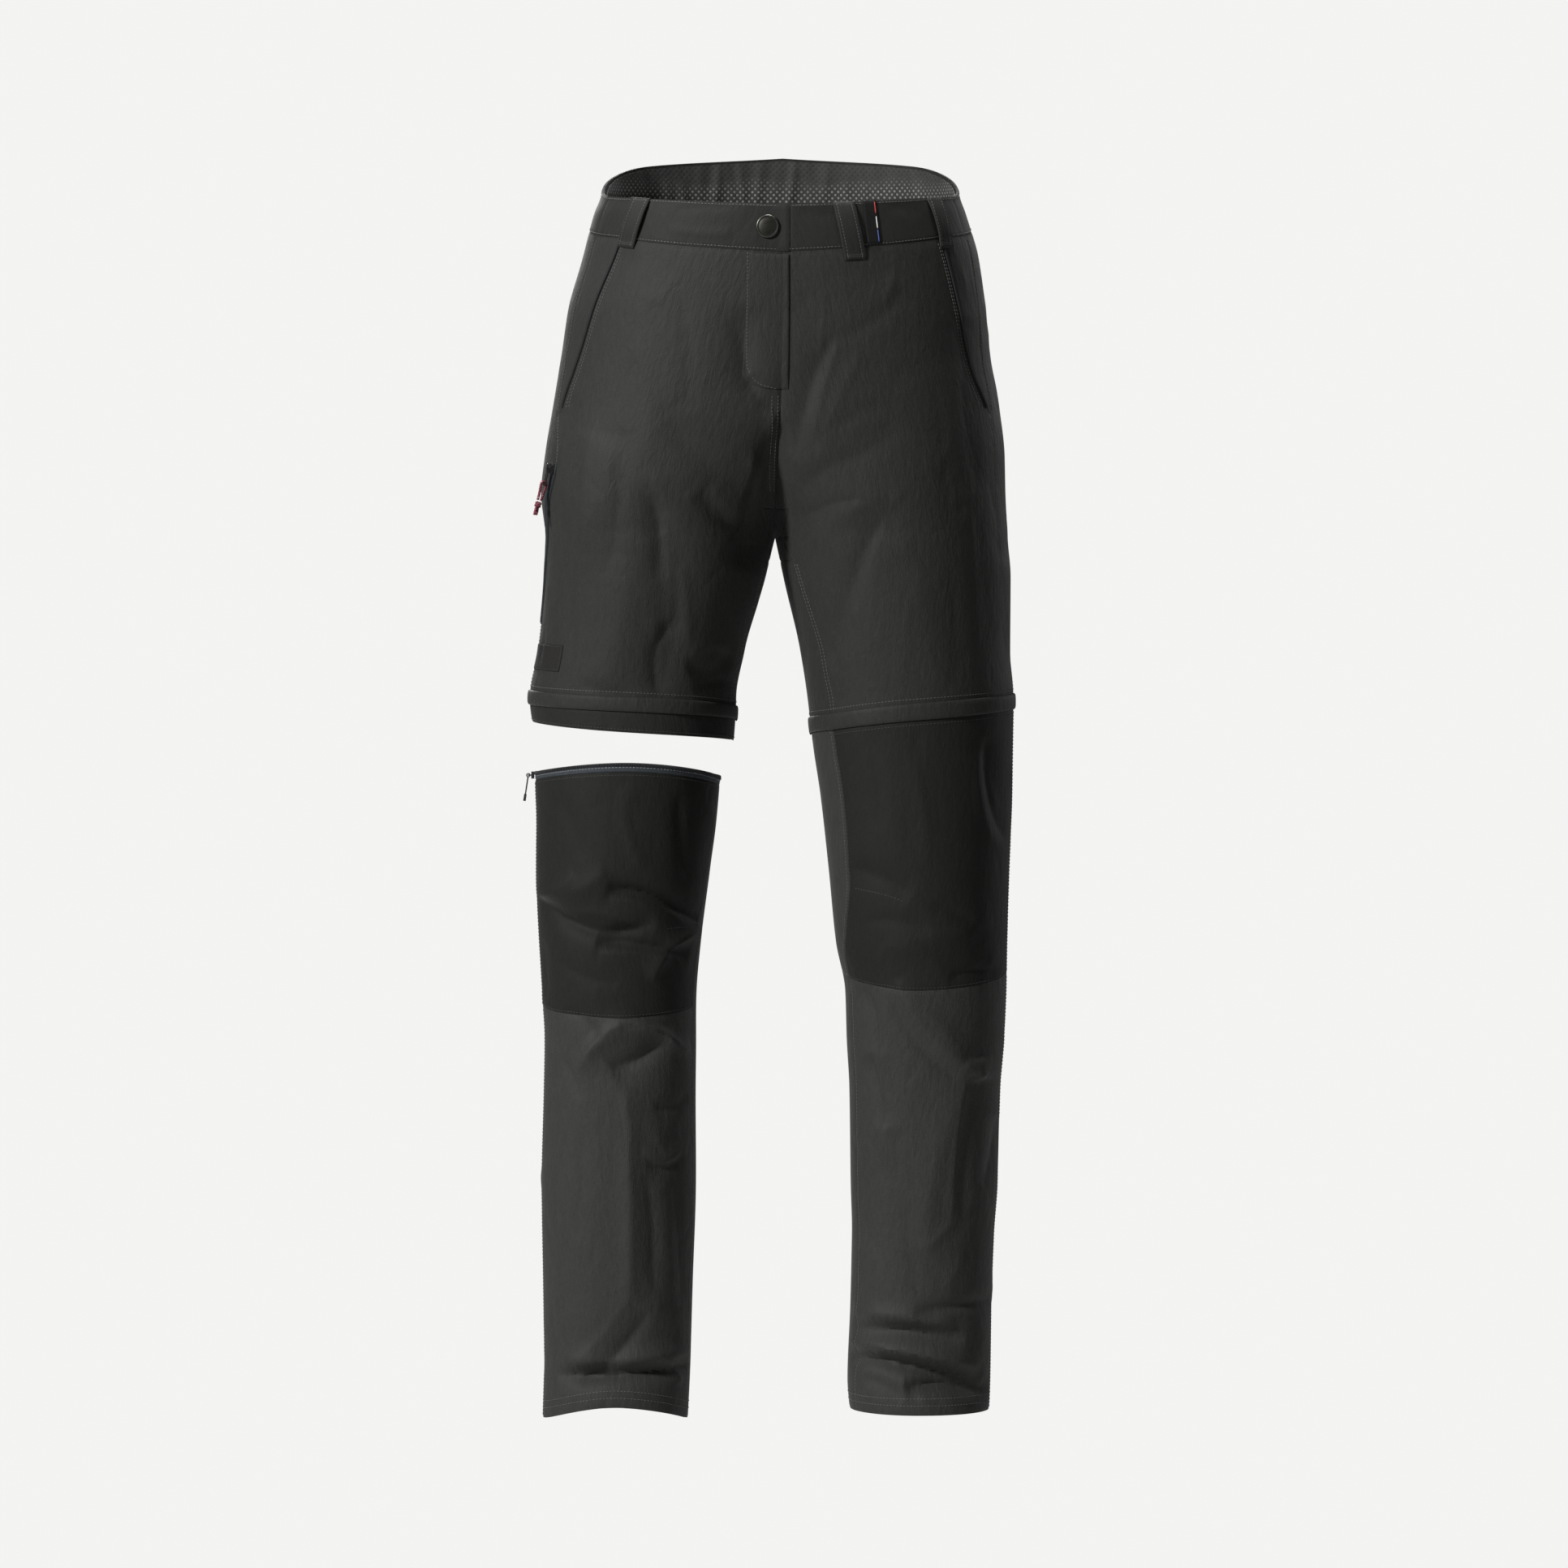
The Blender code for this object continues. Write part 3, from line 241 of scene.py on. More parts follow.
# Folds that the CAD part has: ends, sideways bend of the middle, half-width, depth, and the power of
# the profile, which is round at 2 and crisp near 1. A trough is negative.
LARGE_FOLDS = """
face   x0    z0   x1    z1 bend width depth power
   1  -31  -105  -33  -172    3    14  -2.5   1.6
   1   -3  -205  -31  -315    6    12  -6.0   1.6
   1  -15  -235  -22  -300    4     9   3.0   1.6
   1 -108  -262 -100  -425   14    15  -4.5   1.6
   1  -66  -258  -36  -290    0    12  -3.0   1.6
   1  -76  -408  -41  -397  -10     9  -3.0   1.6
   1   41  -134   14  -222   -6    14  -1.8   1.6
   1   93  -272   42  -400   -4    15  -2.7   1.6
   1   18  -255  100  -198   -6    16  -1.5   1.6
   1  -18  -262  -92  -200    6    16  -2.5   1.6
   1   30  -300   86  -262    4    12   1.8   1.6
   1  158  -120  168  -250    4    16  -1.5   1.6
   1 -130  -320 -150  -420    5    20   2.5   1.6
   1  120  -330  140  -430   -6    20   1.5   1.6
   1 -150  -215 -172  -300   10    22   3.0   1.6
   1 -206  -605 -150  -585   -5    11   3.5   1.6
   1 -202  -608 -113  -631  -12    10  -4.0   1.6
   1 -200  -624 -113  -635    8     9  -3.0   1.6
   1 -142  -598  -67  -631    6    11  -5.0   1.6
   1 -152  -645  -83  -657    3    10  -3.5   1.6
   1 -110  -672  -72  -636    8    10   3.5   1.6
   1 -170  -752  -83  -735   24    11   3.5   1.6
   1 -142  -752  -99  -726   -4    15  -4.0   1.6
   1 -131  -775 -128  -958    3    16   2.5   1.6
   1 -127  -955 -184 -1012    0    13  -3.5   1.6
   1 -186 -1016  -88 -1014    2    10  -4.0   1.6
   1  178  -474  194  -555    2    11  -2.4   1.6
   1   64  -580  110  -602    3    11  -3.0   1.6
   1  100  -640  178  -625   -6    12   2.5   1.6
   1  103  -682  160  -750    4    11   3.5   1.6
   1  172  -744  174  -762    0    11   4.0   1.6
   1  159  -764  126  -905   -8    14   3.0   1.6
   1  188  -798  178  -852    2     9  -1.8   1.6
   1   72  -984  166  -978    3    10  -3.0   1.6
   1   66 -1002  166 -1019    3     9  -4.5   1.6
   1  112 -1028  176 -1032    3     8  -3.0   1.6
  -1 -100  -262  -25  -300    6    14  -4.5   1.6
  -1  100  -262   22  -300   -6    14  -4.5   1.6
  -1  -90  -235  -15  -262    8    14   3.0   1.6
  -1   90  -235   12  -262   -8    14   3.0   1.6
  -1 -140  -330  -60  -352   10    14  -3.5   1.6
  -1  145  -330   65  -352  -10    14  -3.5   1.6
  -1  -60  -120 -110  -210    6    18  -2.5   1.6
  -1   60  -120  115  -210   -6    18  -2.5   1.6
  -1 -190  -590  -80  -596   12    12  -5.0   1.6
  -1 -190  -622  -82  -634    8    11   3.5   1.6
  -1 -180  -655  -85  -650    9    12  -4.0   1.6
  -1  185  -560   70  -566   12    12  -5.0   1.6
  -1  185  -592   70  -604    8    11   3.5   1.6
  -1  180  -625   72  -620    9    12  -4.0   1.6
  -1 -195  -745  -95  -770   10    14  -3.0   1.6
  -1  180  -730   75  -752   10    14  -3.0   1.6
  -1 -185  -985  -92 -1000    4    12  -3.5   1.6
  -1  175  -975   78  -990    4    12  -3.5   1.6
"""
# Finer folds and creases, which only the looks have
FINE_FOLDS = """
face   x0    z0   x1    z1 bend width depth power
   1  -38  -114  -27  -181    4   7.3  -2.0   1.6
   1  -24  -163   -3  -188   -4   5.9  -2.5   1.4
   1   -8  -188  -11  -237    4   5.2   2.5   1.4
   1   -1  -206  -31  -317   -6   5.9  -2.8   1.4
   1  -21  -226  -38  -282    3   5.2   1.9   1.5
   1  -66  -261  -35  -290   -4   7.5  -1.2   1.4
   1  -56  -254  -24  -282   -4   7.5   0.8   1.4
   1 -108  -264 -103  -330    4   7.3  -2.5   1.5
   1  -98  -282  -92  -370    3   5.9   2.0   1.5
   1  -92  -370 -103  -426   -8   5.9  -2.8   1.4
   1  -83  -324  -78  -387    2   5.2   1.8   1.5
   1  -75  -410  -41  -398    8   7.5  -1.5   1.3
   1  -77  -402  -45  -391    7   7.5   1.0   1.3
   1 -158  -198 -162  -317   -4   7.3   1.5   1.6
   1 -133  -212 -146  -324    4   7.3  -1.5   1.6
   1 -119  -128 -112  -226    3   7.3   1.0   1.6
   1  -84   -86  -76  -184    2   7.3  -1.0   1.6
   1 -182  -317 -179  -380    2   5.9  -1.5   1.5
   1  -70  -426  -41  -421    2   4.5  -2.0   1.4
   1 -168  -422 -126  -430   -2   5.2  -1.2   1.5
   1   41  -134   15  -220   -3   5.9  -1.2   1.4
   1   52  -128   28  -216   -3   5.2   0.9   1.4
   1  105   -90   38  -132    6   5.9  -0.8   1.5
   1   70  -142   35  -226   -4   6.6   0.8   1.5
   1   93  -275   56  -364   -6   6.6  -1.2   1.5
   1   56  -364   42  -398    1   5.9  -0.9   1.5
   1  105  -254   77  -338   -5   5.9   0.8   1.5
   1   21  -254   70  -226    5   5.9  -1.1   1.4
   1   18  -282   77  -265    6   5.2  -0.9   1.4
   1   21  -226   91  -184    6   6.6  -0.8   1.5
   1  133  -170  144  -282    3   7.3  -0.7   1.6
   1  156  -122  168  -249   -3   5.9  -1.0   1.5
   1  168  -282  178  -387    2   5.9  -0.8   1.5
   1  119  -324  105  -422   -4   7.3   0.7   1.6
   1  147  -324  150  -422    2   6.6  -0.6   1.6
   1   46  -394   53  -438    1   4.5  -0.8   1.5
   1 -206  -605 -176  -587   -3   5.8   2.9   1.3
   1 -206  -608 -113  -629  -15   5.8  -4.2  1.25
   1 -200  -624 -113  -634   10   5.8   3.4   1.3
   1 -142  -597  -67  -629    8   5.8  -4.7   1.2
   1 -140  -606  -67  -638    8   5.8   3.4  1.25
   1 -152  -643  -83  -654    3   5.8  -4.4   1.2
   1 -150  -652  -80  -663    4   5.8   2.9   1.3
   1 -108  -673  -69  -633    6   4.5   3.1   1.3
   1 -189  -660 -140  -678   -4   5.9  -1.8   1.5
   1 -189  -520 -168  -569    3   6.6  -1.3   1.6
   1 -133  -513 -119  -576   -4   6.6   1.3   1.6
   1  -85  -520  -77  -590   -3   5.2  -2.1   1.5
   1 -204  -646 -202  -695    1   4.5  -1.8   1.5
   1 -182  -702 -154  -727    4   5.8  -2.9   1.4
   1 -170  -750  -83  -737   31   5.8   3.9  1.25
   1 -140  -750  -99  -725   -6   5.8  -3.4   1.4
   1 -133  -713  -91  -718    4   5.8  -2.3   1.4
   1 -196  -737 -171  -776    4   5.2  -2.1   1.4
   1 -115  -825  -85  -825   -6   5.8   2.6   1.3
   1 -113  -832  -84  -831   -6   5.8  -2.9   1.3
   1 -105  -786  -80  -779   -4   5.8  -2.1   1.4
   1 -131  -777 -130  -958    2   7.3   2.6   1.5
   1 -112  -849 -108  -947    2   6.6  -2.1   1.5
   1  -90  -849  -83  -954    1   5.2  -2.1   1.4
   1 -132  -955 -184 -1012    3   9.0   3.4   1.4
   1 -114  -966 -168 -1022    4   8.0  -3.6   1.5
   1 -186 -1017  -83 -1011   -2   6.6  -8.0   1.2
   1 -184 -1004  -84  -999   -2   7.0   4.5   1.4
   1  -96 -1004  -85 -1024    2   3.8   3.2   1.3
   1 -189  -884 -193  -968    2   5.9   1.6   1.5
   1 -168  -800 -174  -898    2   6.6  -1.3   1.6
   1  178  -474  195  -555   -6   4.5  -2.4   1.3
   1  171  -478  186  -562   -6   4.5   1.4   1.4
   1   77  -464   85  -541    3   6.6  -1.0   1.6
   1  112  -485  126  -576    4   7.3   1.0   1.6
   1   77  -625  126  -632    4   5.9  -1.4   1.4
   1  133  -611  175  -639    4   5.9  -1.6   1.4
   1   91  -646  140  -664    4   5.8   1.4   1.4
   1  147  -674  188  -671    4   5.8  -2.6   1.3
   1   74  -685   84  -737    2   7.0  -5.5   1.4
   1   78  -744   88  -800    2   7.0  -5.5   1.4
   1   70  -807   80  -842    2   4.5   1.2   1.5
   1  103  -680  159  -748   -7   5.2   2.8  1.25
   1   98  -692  148  -757   -7   5.2  -2.0   1.4
   1  159  -748  174  -760    1   5.8   2.4   1.3
   1  159  -764  148  -886   -3   5.2   2.0   1.3
   1  165  -769  158  -884   -3   6.6  -1.8   1.5
   1  146  -886  125  -907    1   5.2   1.6   1.4
   1  189  -800  178  -851    2   4.5  -2.2   1.3
   1  120  -962  181  -955    1   6.6  -5.0   1.3
   1   70  -976  154  -986    2   7.0  -6.0   1.4
   1   69  -964  147  -972    2   6.6   5.0   1.4
   1   66 -1002  167 -1021    2   7.0  -9.0   1.2
   1   66  -990  167 -1009    2   7.0   6.4   1.4
   1  112 -1026  176 -1030    4   6.6  -7.5  1.25
   1   71 -1021  105 -1035    3   6.6  -3.2   1.4
   1   91  -856   85  -954    3   6.6   1.0   1.6
   1  112  -870  119  -947   -3   6.6  -1.0   1.6
   1  -84   -18  -38   -15    2   4.5  -0.8   1.5
   1   18   -18   49   -22   -2   4.5  -0.5   1.5
   1   91   -18  119   -20    2   4.5  -0.5   1.5
   1  -92   -34  -42   -38   -2   4.5   0.7   1.5
   1 -155 -1004  -92  -980    0  15.0  -3.0   1.7
   1   90  -690   92  -830   -3   6.0   2.5   1.6
"""

# Pleats of the waist mesh: place across, sideways lean going down, half-width and depth
GATHERS = """
   x lean width depth
-150    6     7   1.6
-128   -6     8   1.8
-101    8     6   2.2
 -88   10     4   2.4
 -70    4     6   1.4
 -55   -4     4   2.6
 -44    8     5   1.6
 -34    7     3   2.6
 -18   -5     5   1.8
  -4    4     6   1.4
  12   -6     4   2.5
  26    6     6   1.6
  42   -8     5   1.8
  58    5     6   1.4
  74   12     4   2.7
  86    8     5   1.7
 104   -8     6   1.8
 120   10     4   2.6
 138   -6     7   1.7
"""

# Stitching round a row: tube, row, first and last column, millimetres below the row, thread
ROUND_STITCHES = """
tube  row         first last  down thread
right waist_seam    0.1 23.9  -2.2 shell_thread
left  waist_seam    0.1 23.9  -2.2 shell_thread
right waist_top     0.1 23.9   2.0 shell_thread
left  waist_top     0.1 23.9   2.0 shell_thread
right strip_top     0.0 24.0  -2.4 shell_thread
left  strip_top     0.0 24.0  -2.4 shell_thread
right shorts_foot   0.0 24.0  -2.6 knee_thread
left  strip_foot    2.1 13.9   4.2 knee_thread
left  strip_foot   14.1 23.9   4.2 shell_thread
left  knee_foot     2.1 13.9  -2.0 knee_thread
left  hem           0.0 24.0 -14.5 shell_thread
left  hem           0.0 24.0  -8.5 shell_thread
off   tape_top      0.0 24.0   4.0 pale_thread
off   tape_foot     1.1 13.9   1.8 knee_thread
off   knee_foot     1.1 13.9  -2.0 knee_thread
off   hem           0.0 24.0 -14.5 shell_thread
off   hem           0.0 24.0  -8.5 shell_thread
"""

# Stitching down a column: tube, column, first and last row, millimetres along from it, thread
DOWN_STITCHES = """
tube  column first       last        along thread
right     12 waist_seam  fly_foot     -5.6 shell_thread
left      12 waist_seam  fly_foot     -5.6 shell_thread
right     12 waist_seam  fly_foot     -8.2 shell_thread
left      12 waist_seam  fly_foot     -8.2 shell_thread
right     14 fly_foot    strip_top    -2.2 shell_thread
left      14 fly_foot    strip_top    -2.2 shell_thread
right     14 waist_seam  fly_foot      2.2 shell_thread
left      14 waist_seam  fly_foot      2.2 shell_thread
right      1 gusset_foot strip_top     2.2 shell_thread
left       2 gusset_foot strip_top     2.2 shell_thread
right      1 gusset_foot strip_top     7.6 shell_thread
left       2 gusset_foot strip_top     7.6 shell_thread
right      0 fly_foot    crotch_turn   2.4 shell_thread
right      0 fly_foot    crotch_turn   7.8 shell_thread
right     24 waist_seam  crotch_turn  -2.4 shell_thread
right     24 waist_seam  crotch_turn  -7.8 shell_thread
left       2 strip_foot  knee_foot     2.2 knee_thread
left       2 strip_foot  knee_foot    -2.2 shell_thread
left      22 strip_foot  knee_foot    -2.2 shell_thread
left       2 knee_foot   hem           2.2 shell_thread
left      14 strip_foot  knee_foot    -2.2 knee_thread
left      14 knee_foot   hem          -2.2 shell_thread
off        1 tape_foot   knee_foot     2.2 knee_thread
off        1 knee_foot   hem           2.2 shell_thread
off       14 tape_foot   knee_foot    -2.2 knee_thread
off       14 knee_foot   hem          -2.2 shell_thread
"""

# Stitching drawn through places on the front, as (x, z)
DRAWN_STITCHES = (
    ("right", "fly_thread", ((-26.5, -54), (-27, -100), (-27.3, -150), (-24, -158), (-17, -166),
                             (-2, -170))),
    ("left", "knee_thread", ((65, -597), (92, -602.5), (106, -607.5))),
    ("off", "knee_thread", ((-96, -632), (-82, -631), (-68, -632))),
)


def read_table(text):
    """Named columns of a table, as a dict of lists."""
    lines = [line.split() for line in text.strip().splitlines() if line.strip()]
    columns = {name: [] for name in lines[0]}
    for line in lines[1:]:
        for name, value in zip(lines[0], line):
            columns[name].append(value if name == "name" else float(value))
    return columns


def unit(vectors):
    """Each vector at length one."""
    return vectors / np.linalg.norm(vectors, axis=-1)[..., None]


def run_length(line):
    """How far along a line of points each of them lies."""
    return np.concatenate([[0], np.cumsum(np.linalg.norm(np.diff(line, axis=0), axis=1))])


def smooth_curve(xs, ys):
    """A smooth curve through the points that never overshoots them (monotone cubic)."""
    order = np.argsort(xs)
    xs = np.array(xs, float)[order]
    ys = np.array(ys, float)[order]
    step = np.diff(xs)
    slope = np.diff(ys) / step
    tangent = np.zeros(len(xs))
    tangent[0] = slope[0]
    tangent[-1] = slope[-1]
    for k in range(1, len(xs) - 1):
        if slope[k - 1] * slope[k] > 0:
            tangent[k] = 2 * slope[k - 1] * slope[k] / (slope[k - 1] + slope[k])

    def value(x):
        x = np.clip(x, xs[0], xs[-1])
        k = np.minimum(np.searchsorted(xs, x, side="right") - 1, len(step) - 1)
        t = (x - xs[k]) / step[k]
        start = (1 + 2 * t) * (1 - t) ** 2 * ys[k] + t * (1 - t) ** 2 * step[k] * tangent[k]
        end = t * t * (3 - 2 * t) * ys[k + 1] + t * t * (t - 1) * step[k] * tangent[k + 1]
        return start + end

    return value


class Tube:
    """One half of the garment, or the lower leg that is off: its sections, seams and rows."""

    def __init__(self, side, sections, seams, rows, fine):
        self.side = side
        self.fine = fine
        self.sections = {name: smooth_curve(sections["z"], sections[name]) for name in sections}
        seam_table = read_table(seams)
        self.seams = {name: smooth_curve(seam_table["z"], seam_table[name]) for name in seam_table}
        self.guides = read_table(rows)
        self.row = {}
        count = 0
        for name, cells in zip(self.guides["name"], self.guides["cells"]):
            self.row[name] = count
            count += int(cells)
        self.rows = count
        self.first_ring = self.row.get("crotch", -1)

    def section(self, z):
        """Points round the section at height z, from the inner front to the inner back."""
        at = {name: float(curve(z)) for name, curve in self.sections.items()}
        split = abs(at["middle"] - at["centre"])
        start = math.acos(min(1.0, split / at["reach"]) ** (ROUNDNESS / 2))
        turn = np.linspace(start, 2 * math.pi - start, SECTION_SPOTS)
        across = np.abs(np.cos(turn)) ** (2 / ROUNDNESS)
        along = np.abs(np.sin(turn)) ** (2 / ROUNDNESS)
        half = abs(at["outer"] - at["middle"])
        out = np.where(np.cos(turn) > 0, -at["reach"] * across, half * across)
        x = at["middle"] + self.side * out
        y = np.where(np.sin(turn) > 0, -at["front"] * along, at["back"] * along)
        length = np.concatenate([[0], np.cumsum(np.hypot(np.diff(x), np.diff(y)))])
        return x, y, length, np.interp(math.pi, turn, length)

    def line_at(self, z, columns):
        """The skin points of the columns at height z, and how far round each of them lies."""
        x, y, length, widest = self.section(z)
        side_seam = widest - self.seams["side"](z)
        anchors = [0, INSEAM_COLUMN[self.side], POCKET_COLUMN, FRONT_CELLS]
        places = [0, self.seams["inseam"](z), side_seam - self.seams["pocket"](z), side_seam]
        front = np.interp(columns, anchors, places)
        part = (columns - FRONT_CELLS) / BACK_CELLS
        s = np.where(columns <= FRONT_CELLS, front, side_seam + part * (length[-1] - side_seam))
        return np.interp(s, length, x), np.interp(s, length, y), s - widest

    def heights(self):
        """The height of every grid point."""
        columns = np.arange(LAST * self.fine + 1) / self.fine
        back = 0.5 + 0.5 * (columns - FRONT_CELLS) / BACK_CELLS
        u = np.where(columns <= FRONT_CELLS, 0.5 * columns / FRONT_CELLS, back)
        names = ("inner_front", "front", "side", "back", "inner_back")
        lines = []
        for k in range(len(self.guides["name"])):
            lines.append(smooth_curve([0, 0.25, 0.5, 0.75, 1], [self.guides[n][k] for n in names])(u))
        starts = [self.row[name] * self.fine for name in self.guides["name"]]
        rows = np.arange(self.rows * self.fine + 1)
        lines = np.array(lines)
        return np.array([np.interp(rows, starts, lines[:, c]) for c in range(len(u))]).T

    def grid(self):
        """Skin points of the whole grid by row and column, and their places in the flat cloth."""
        heights = self.heights()
        columns = np.arange(LAST * self.fine + 1) / self.fine
        levels = np.arange(heights.min() - 2, heights.max() + 4, 2.0)
        lines = np.array([self.line_at(z, columns) for z in levels])
        points = np.zeros(heights.shape + (3,))
        flat = np.zeros(heights.shape + (2,))
        for c in range(len(columns)):
            points[:, c, 0] = np.interp(heights[:, c], levels, lines[:, 0, c])
            points[:, c, 1] = np.interp(heights[:, c], levels, lines[:, 1, c])
            flat[:, c, 0] = np.interp(heights[:, c], levels, lines[:, 2, c])
        points[:, :, 2] = heights
        flat[:, :, 1] = heights
        return points, flat


def torso_sections(side, legs):
    """Section columns of one half: the shorts part, then its leg."""
    torso = read_table(TORSO)
    leg = read_table(legs)
    outer = torso["left" if side == LEFT else "right"]
    middle = [c + side * s for c, s in zip(torso["centre"], torso["split"])]
    halves = [abs(o - i) / 2 for i, o in zip(leg["inner"], leg["outer"])]
    return {
        "z": torso["z"] + leg["z"],
        "outer": outer + leg["outer"],
        "middle": middle + [(i + o) / 2 for i, o in zip(leg["inner"], leg["outer"])],
        "reach": torso["reach"] + halves,
        "centre": torso["centre"] + [torso["centre"][-1]] * len(halves),
        "front": torso["front"] + leg["front"],
        "back": torso["back"] + leg["back"],
    }


def ring_sections(legs):
    """Section columns of the lower leg that is off."""
    leg = read_table(legs)
    return {
        "z": leg["z"],
        "outer": leg["outer"],
        "middle": [(i + o) / 2 for i, o in zip(leg["inner"], leg["outer"])],
        "reach": [abs(o - i) / 2 for i, o in zip(leg["inner"], leg["outer"])],
        "centre": [0.0] * len(leg["z"]),
        "front": leg["front"],
        "back": leg["back"],
    }


def fold_lift(points, normals, text):
    """How far the folds of a table move each point along its normal."""
    table = read_table(text)
    lift = np.zeros(len(points))
    flat = points[:, [0, 2]]
    for k in range(len(table["face"])):
        start = np.array([table["x0"][k], table["z0"][k]])
        end = np.array([table["x1"][k], table["z1"][k]])
        near = 4 * table["width"][k] + abs(table["bend"][k])
        low = np.minimum(start, end) - near
        high = np.maximum(start, end) + near
        use = np.nonzero(np.all((flat > low) & (flat < high), axis=1))[0]
        run = end - start
        size = np.hypot(*run)
        sideways = np.array([-run[1], run[0]]) / size
        part = np.clip((flat[use] - start) @ run / size**2, -0.3, 1.3)
        inside = np.clip(part, 0, 1)
        bulge = 4 * table["bend"][k] * inside * (1 - inside)
        bent = start + part[:, None] * run + bulge[:, None] * sideways
        away = np.hypot(*(flat[use] - bent).T) / table["width"][k]
        fade = np.clip(1 - np.abs(2 * part - 1) ** 4 / 1.8, 0, 1)
        facing = np.clip(-table["face"][k] * normals[use, 1] * 3, 0, 1)
        lift[use] += table["depth"][k] * np.exp(-(away ** table["power"][k])) * fade * facing
    return lift


def crumple(flat, side, amount):
    """Short soft wrinkles all over the cloth, mostly along the leg, as worn-in nylon has them."""
    draw = np.random.default_rng(CRUMPLE_SEED + side)
    lift = np.zeros(len(flat))
    low, high = flat.min(axis=0), flat.max(axis=0)
    for _ in range(int((high - low).prod() / CRUMPLE_AREA)):
        middle = low + draw.random(2) * (high - low)
        turn = math.radians(90 + draw.normal(0, 32))
        size = draw.uniform(14, 45)
        width = draw.uniform(2.6, 6.5)
        depth = draw.normal(0, 0.42)
        off = flat - middle
        near = np.nonzero(np.all(np.abs(off) < size, axis=1))[0]
        along = off[near] @ np.array([math.cos(turn), math.sin(turn)]) / size
        across = off[near] @ np.array([-math.sin(turn), math.cos(turn)]) / width
        lift[near] += depth * np.exp(-np.abs(across) ** 1.5 - (2.2 * along) ** 2)
    return lift * amount


class Skin:
    """The skin points of all tubes together, with their normals, cells and places in the flat cloth."""

    def __init__(self, tubes, fine, large, small, crinkle):
        self.tubes = tubes
        self.fine = fine
        self.ids = {}
        self.flat = {}
        points = []
        ripple = []
        shared = {}
        for tube in tubes:
            grid, flat = tube.grid()
            ids = np.full(grid.shape[:2], -1)
            edge = LAST * fine
            for r in range(grid.shape[0]):
                for c in (0, edge):
                    if r > tube.first_ring * fine:
                        key = (id(tube), r)
                    elif r == tube.first_ring * fine:
                        key = "crotch"
                    else:
                        key = (r, c)
                    if key not in shared:
                        shared[key] = len(points)
                        points.append(grid[r, c])
                        ripple.append(0.0)
                    ids[r, c] = shared[key]
            inner = grid[:, 1:edge]
            count = inner.shape[0] * inner.shape[1]
            ids[:, 1:edge] = len(points) + np.arange(count).reshape(inner.shape[:2])
            points += list(inner.reshape(-1, 3))
            soft = crumple(flat[:, 1:edge].reshape(-1, 2), tube.side, crinkle).reshape(inner.shape[:2])
            ends = np.minimum(np.arange(1, edge), edge - np.arange(1, edge)) / (1.5 * fine)
            ripple += list((soft * np.minimum(1, ends)[None, :]).ravel())
            self.ids[tube] = ids
            self.flat[tube] = flat
        self.points = np.array(points)
        self.normals = self.vertex_normals()
        lift = large * fold_lift(self.points, self.normals, LARGE_FOLDS)
        lift += small * fold_lift(self.points, self.normals, FINE_FOLDS)
        band = np.clip((-40 - self.points[:, 2]) / 40, 0.25, 1)
        self.points = self.points + self.normals * (lift + np.array(ripple) * band)[:, None]
        self.normals = self.vertex_normals()

    def quads(self, tube, top, foot, first, last):
        """The cells of a block, each turned outwards, and where their corners lie in the flat cloth."""
        n = self.fine
        block = slice(round(top * n), round(foot * n) + 1), slice(round(first * n), round(last * n) + 1)
        a = self.ids[tube][block]
        f = self.flat[tube][block]
        cells = np.stack([a[:-1, :-1], a[:-1, 1:], a[1:, 1:], a[1:, :-1]], -1).reshape(-1, 4)
        flats = np.stack([f[:-1, :-1], f[:-1, 1:], f[1:, 1:], f[1:, :-1]], 2).reshape(-1, 4, 2)
        if tube.side == LEFT:
            return cells[:, ::-1], flats[:, ::-1]
        return cells, flats

    def vertex_normals(self):
        cells = np.concatenate([self.quads(tube, 0, tube.rows, 0, LAST)[0] for tube in self.tubes])
        corner = self.points[cells]
        face = np.cross(corner[:, 2] - corner[:, 0], corner[:, 3] - corner[:, 1])
        total = np.zeros_like(self.points)
        for k in range(4):
            np.add.at(total, cells[:, k], face)
        return unit(total)

    def at(self, tube, rows, columns):
        """Skin points and normals at rows and columns, which may lie between the grid's."""
        rows, columns = np.broadcast_arrays(np.asarray(rows, float), np.asarray(columns, float))
        ids = self.ids[tube]
        v = np.clip(rows * self.fine, 0, ids.shape[0] - 1.001)
        w = np.clip(columns * self.fine, 0, ids.shape[1] - 1.001)
        r, c = v.astype(int), w.astype(int)
        v, w = (v - r)[..., None], (w - c)[..., None]
        found = []
        for source in (self.points, self.normals):
            top = source[ids[r, c]] * (1 - w) + source[ids[r, c + 1]] * w
            foot = source[ids[r + 1, c]] * (1 - w) + source[ids[r + 1, c + 1]] * w
            found.append(top * (1 - v) + foot * v)
        return found[0], unit(found[1])

    def moved(self, tube, rows, columns, down=0.0, along=0.0):
        """Rows and columns moved by so many millimetres down the cloth and along it."""
        rows, columns = np.broadcast_arrays(np.asarray(rows, float), np.asarray(columns, float))
        if down:
            reach = self.at(tube, rows + 0.2, columns)[0] - self.at(tube, rows - 0.2, columns)[0]
            used = np.clip(rows + 0.2, 0, tube.rows) - np.clip(rows - 0.2, 0, tube.rows)
            rows = rows + down * used / np.linalg.norm(reach, axis=-1)
        if along:
            reach = self.at(tube, rows, columns + 0.2)[0] - self.at(tube, rows, columns - 0.2)[0]
            used = np.clip(columns + 0.2, 0, LAST) - np.clip(columns - 0.2, 0, LAST)
            columns = columns + along * used / np.linalg.norm(reach, axis=-1)
        return rows, columns

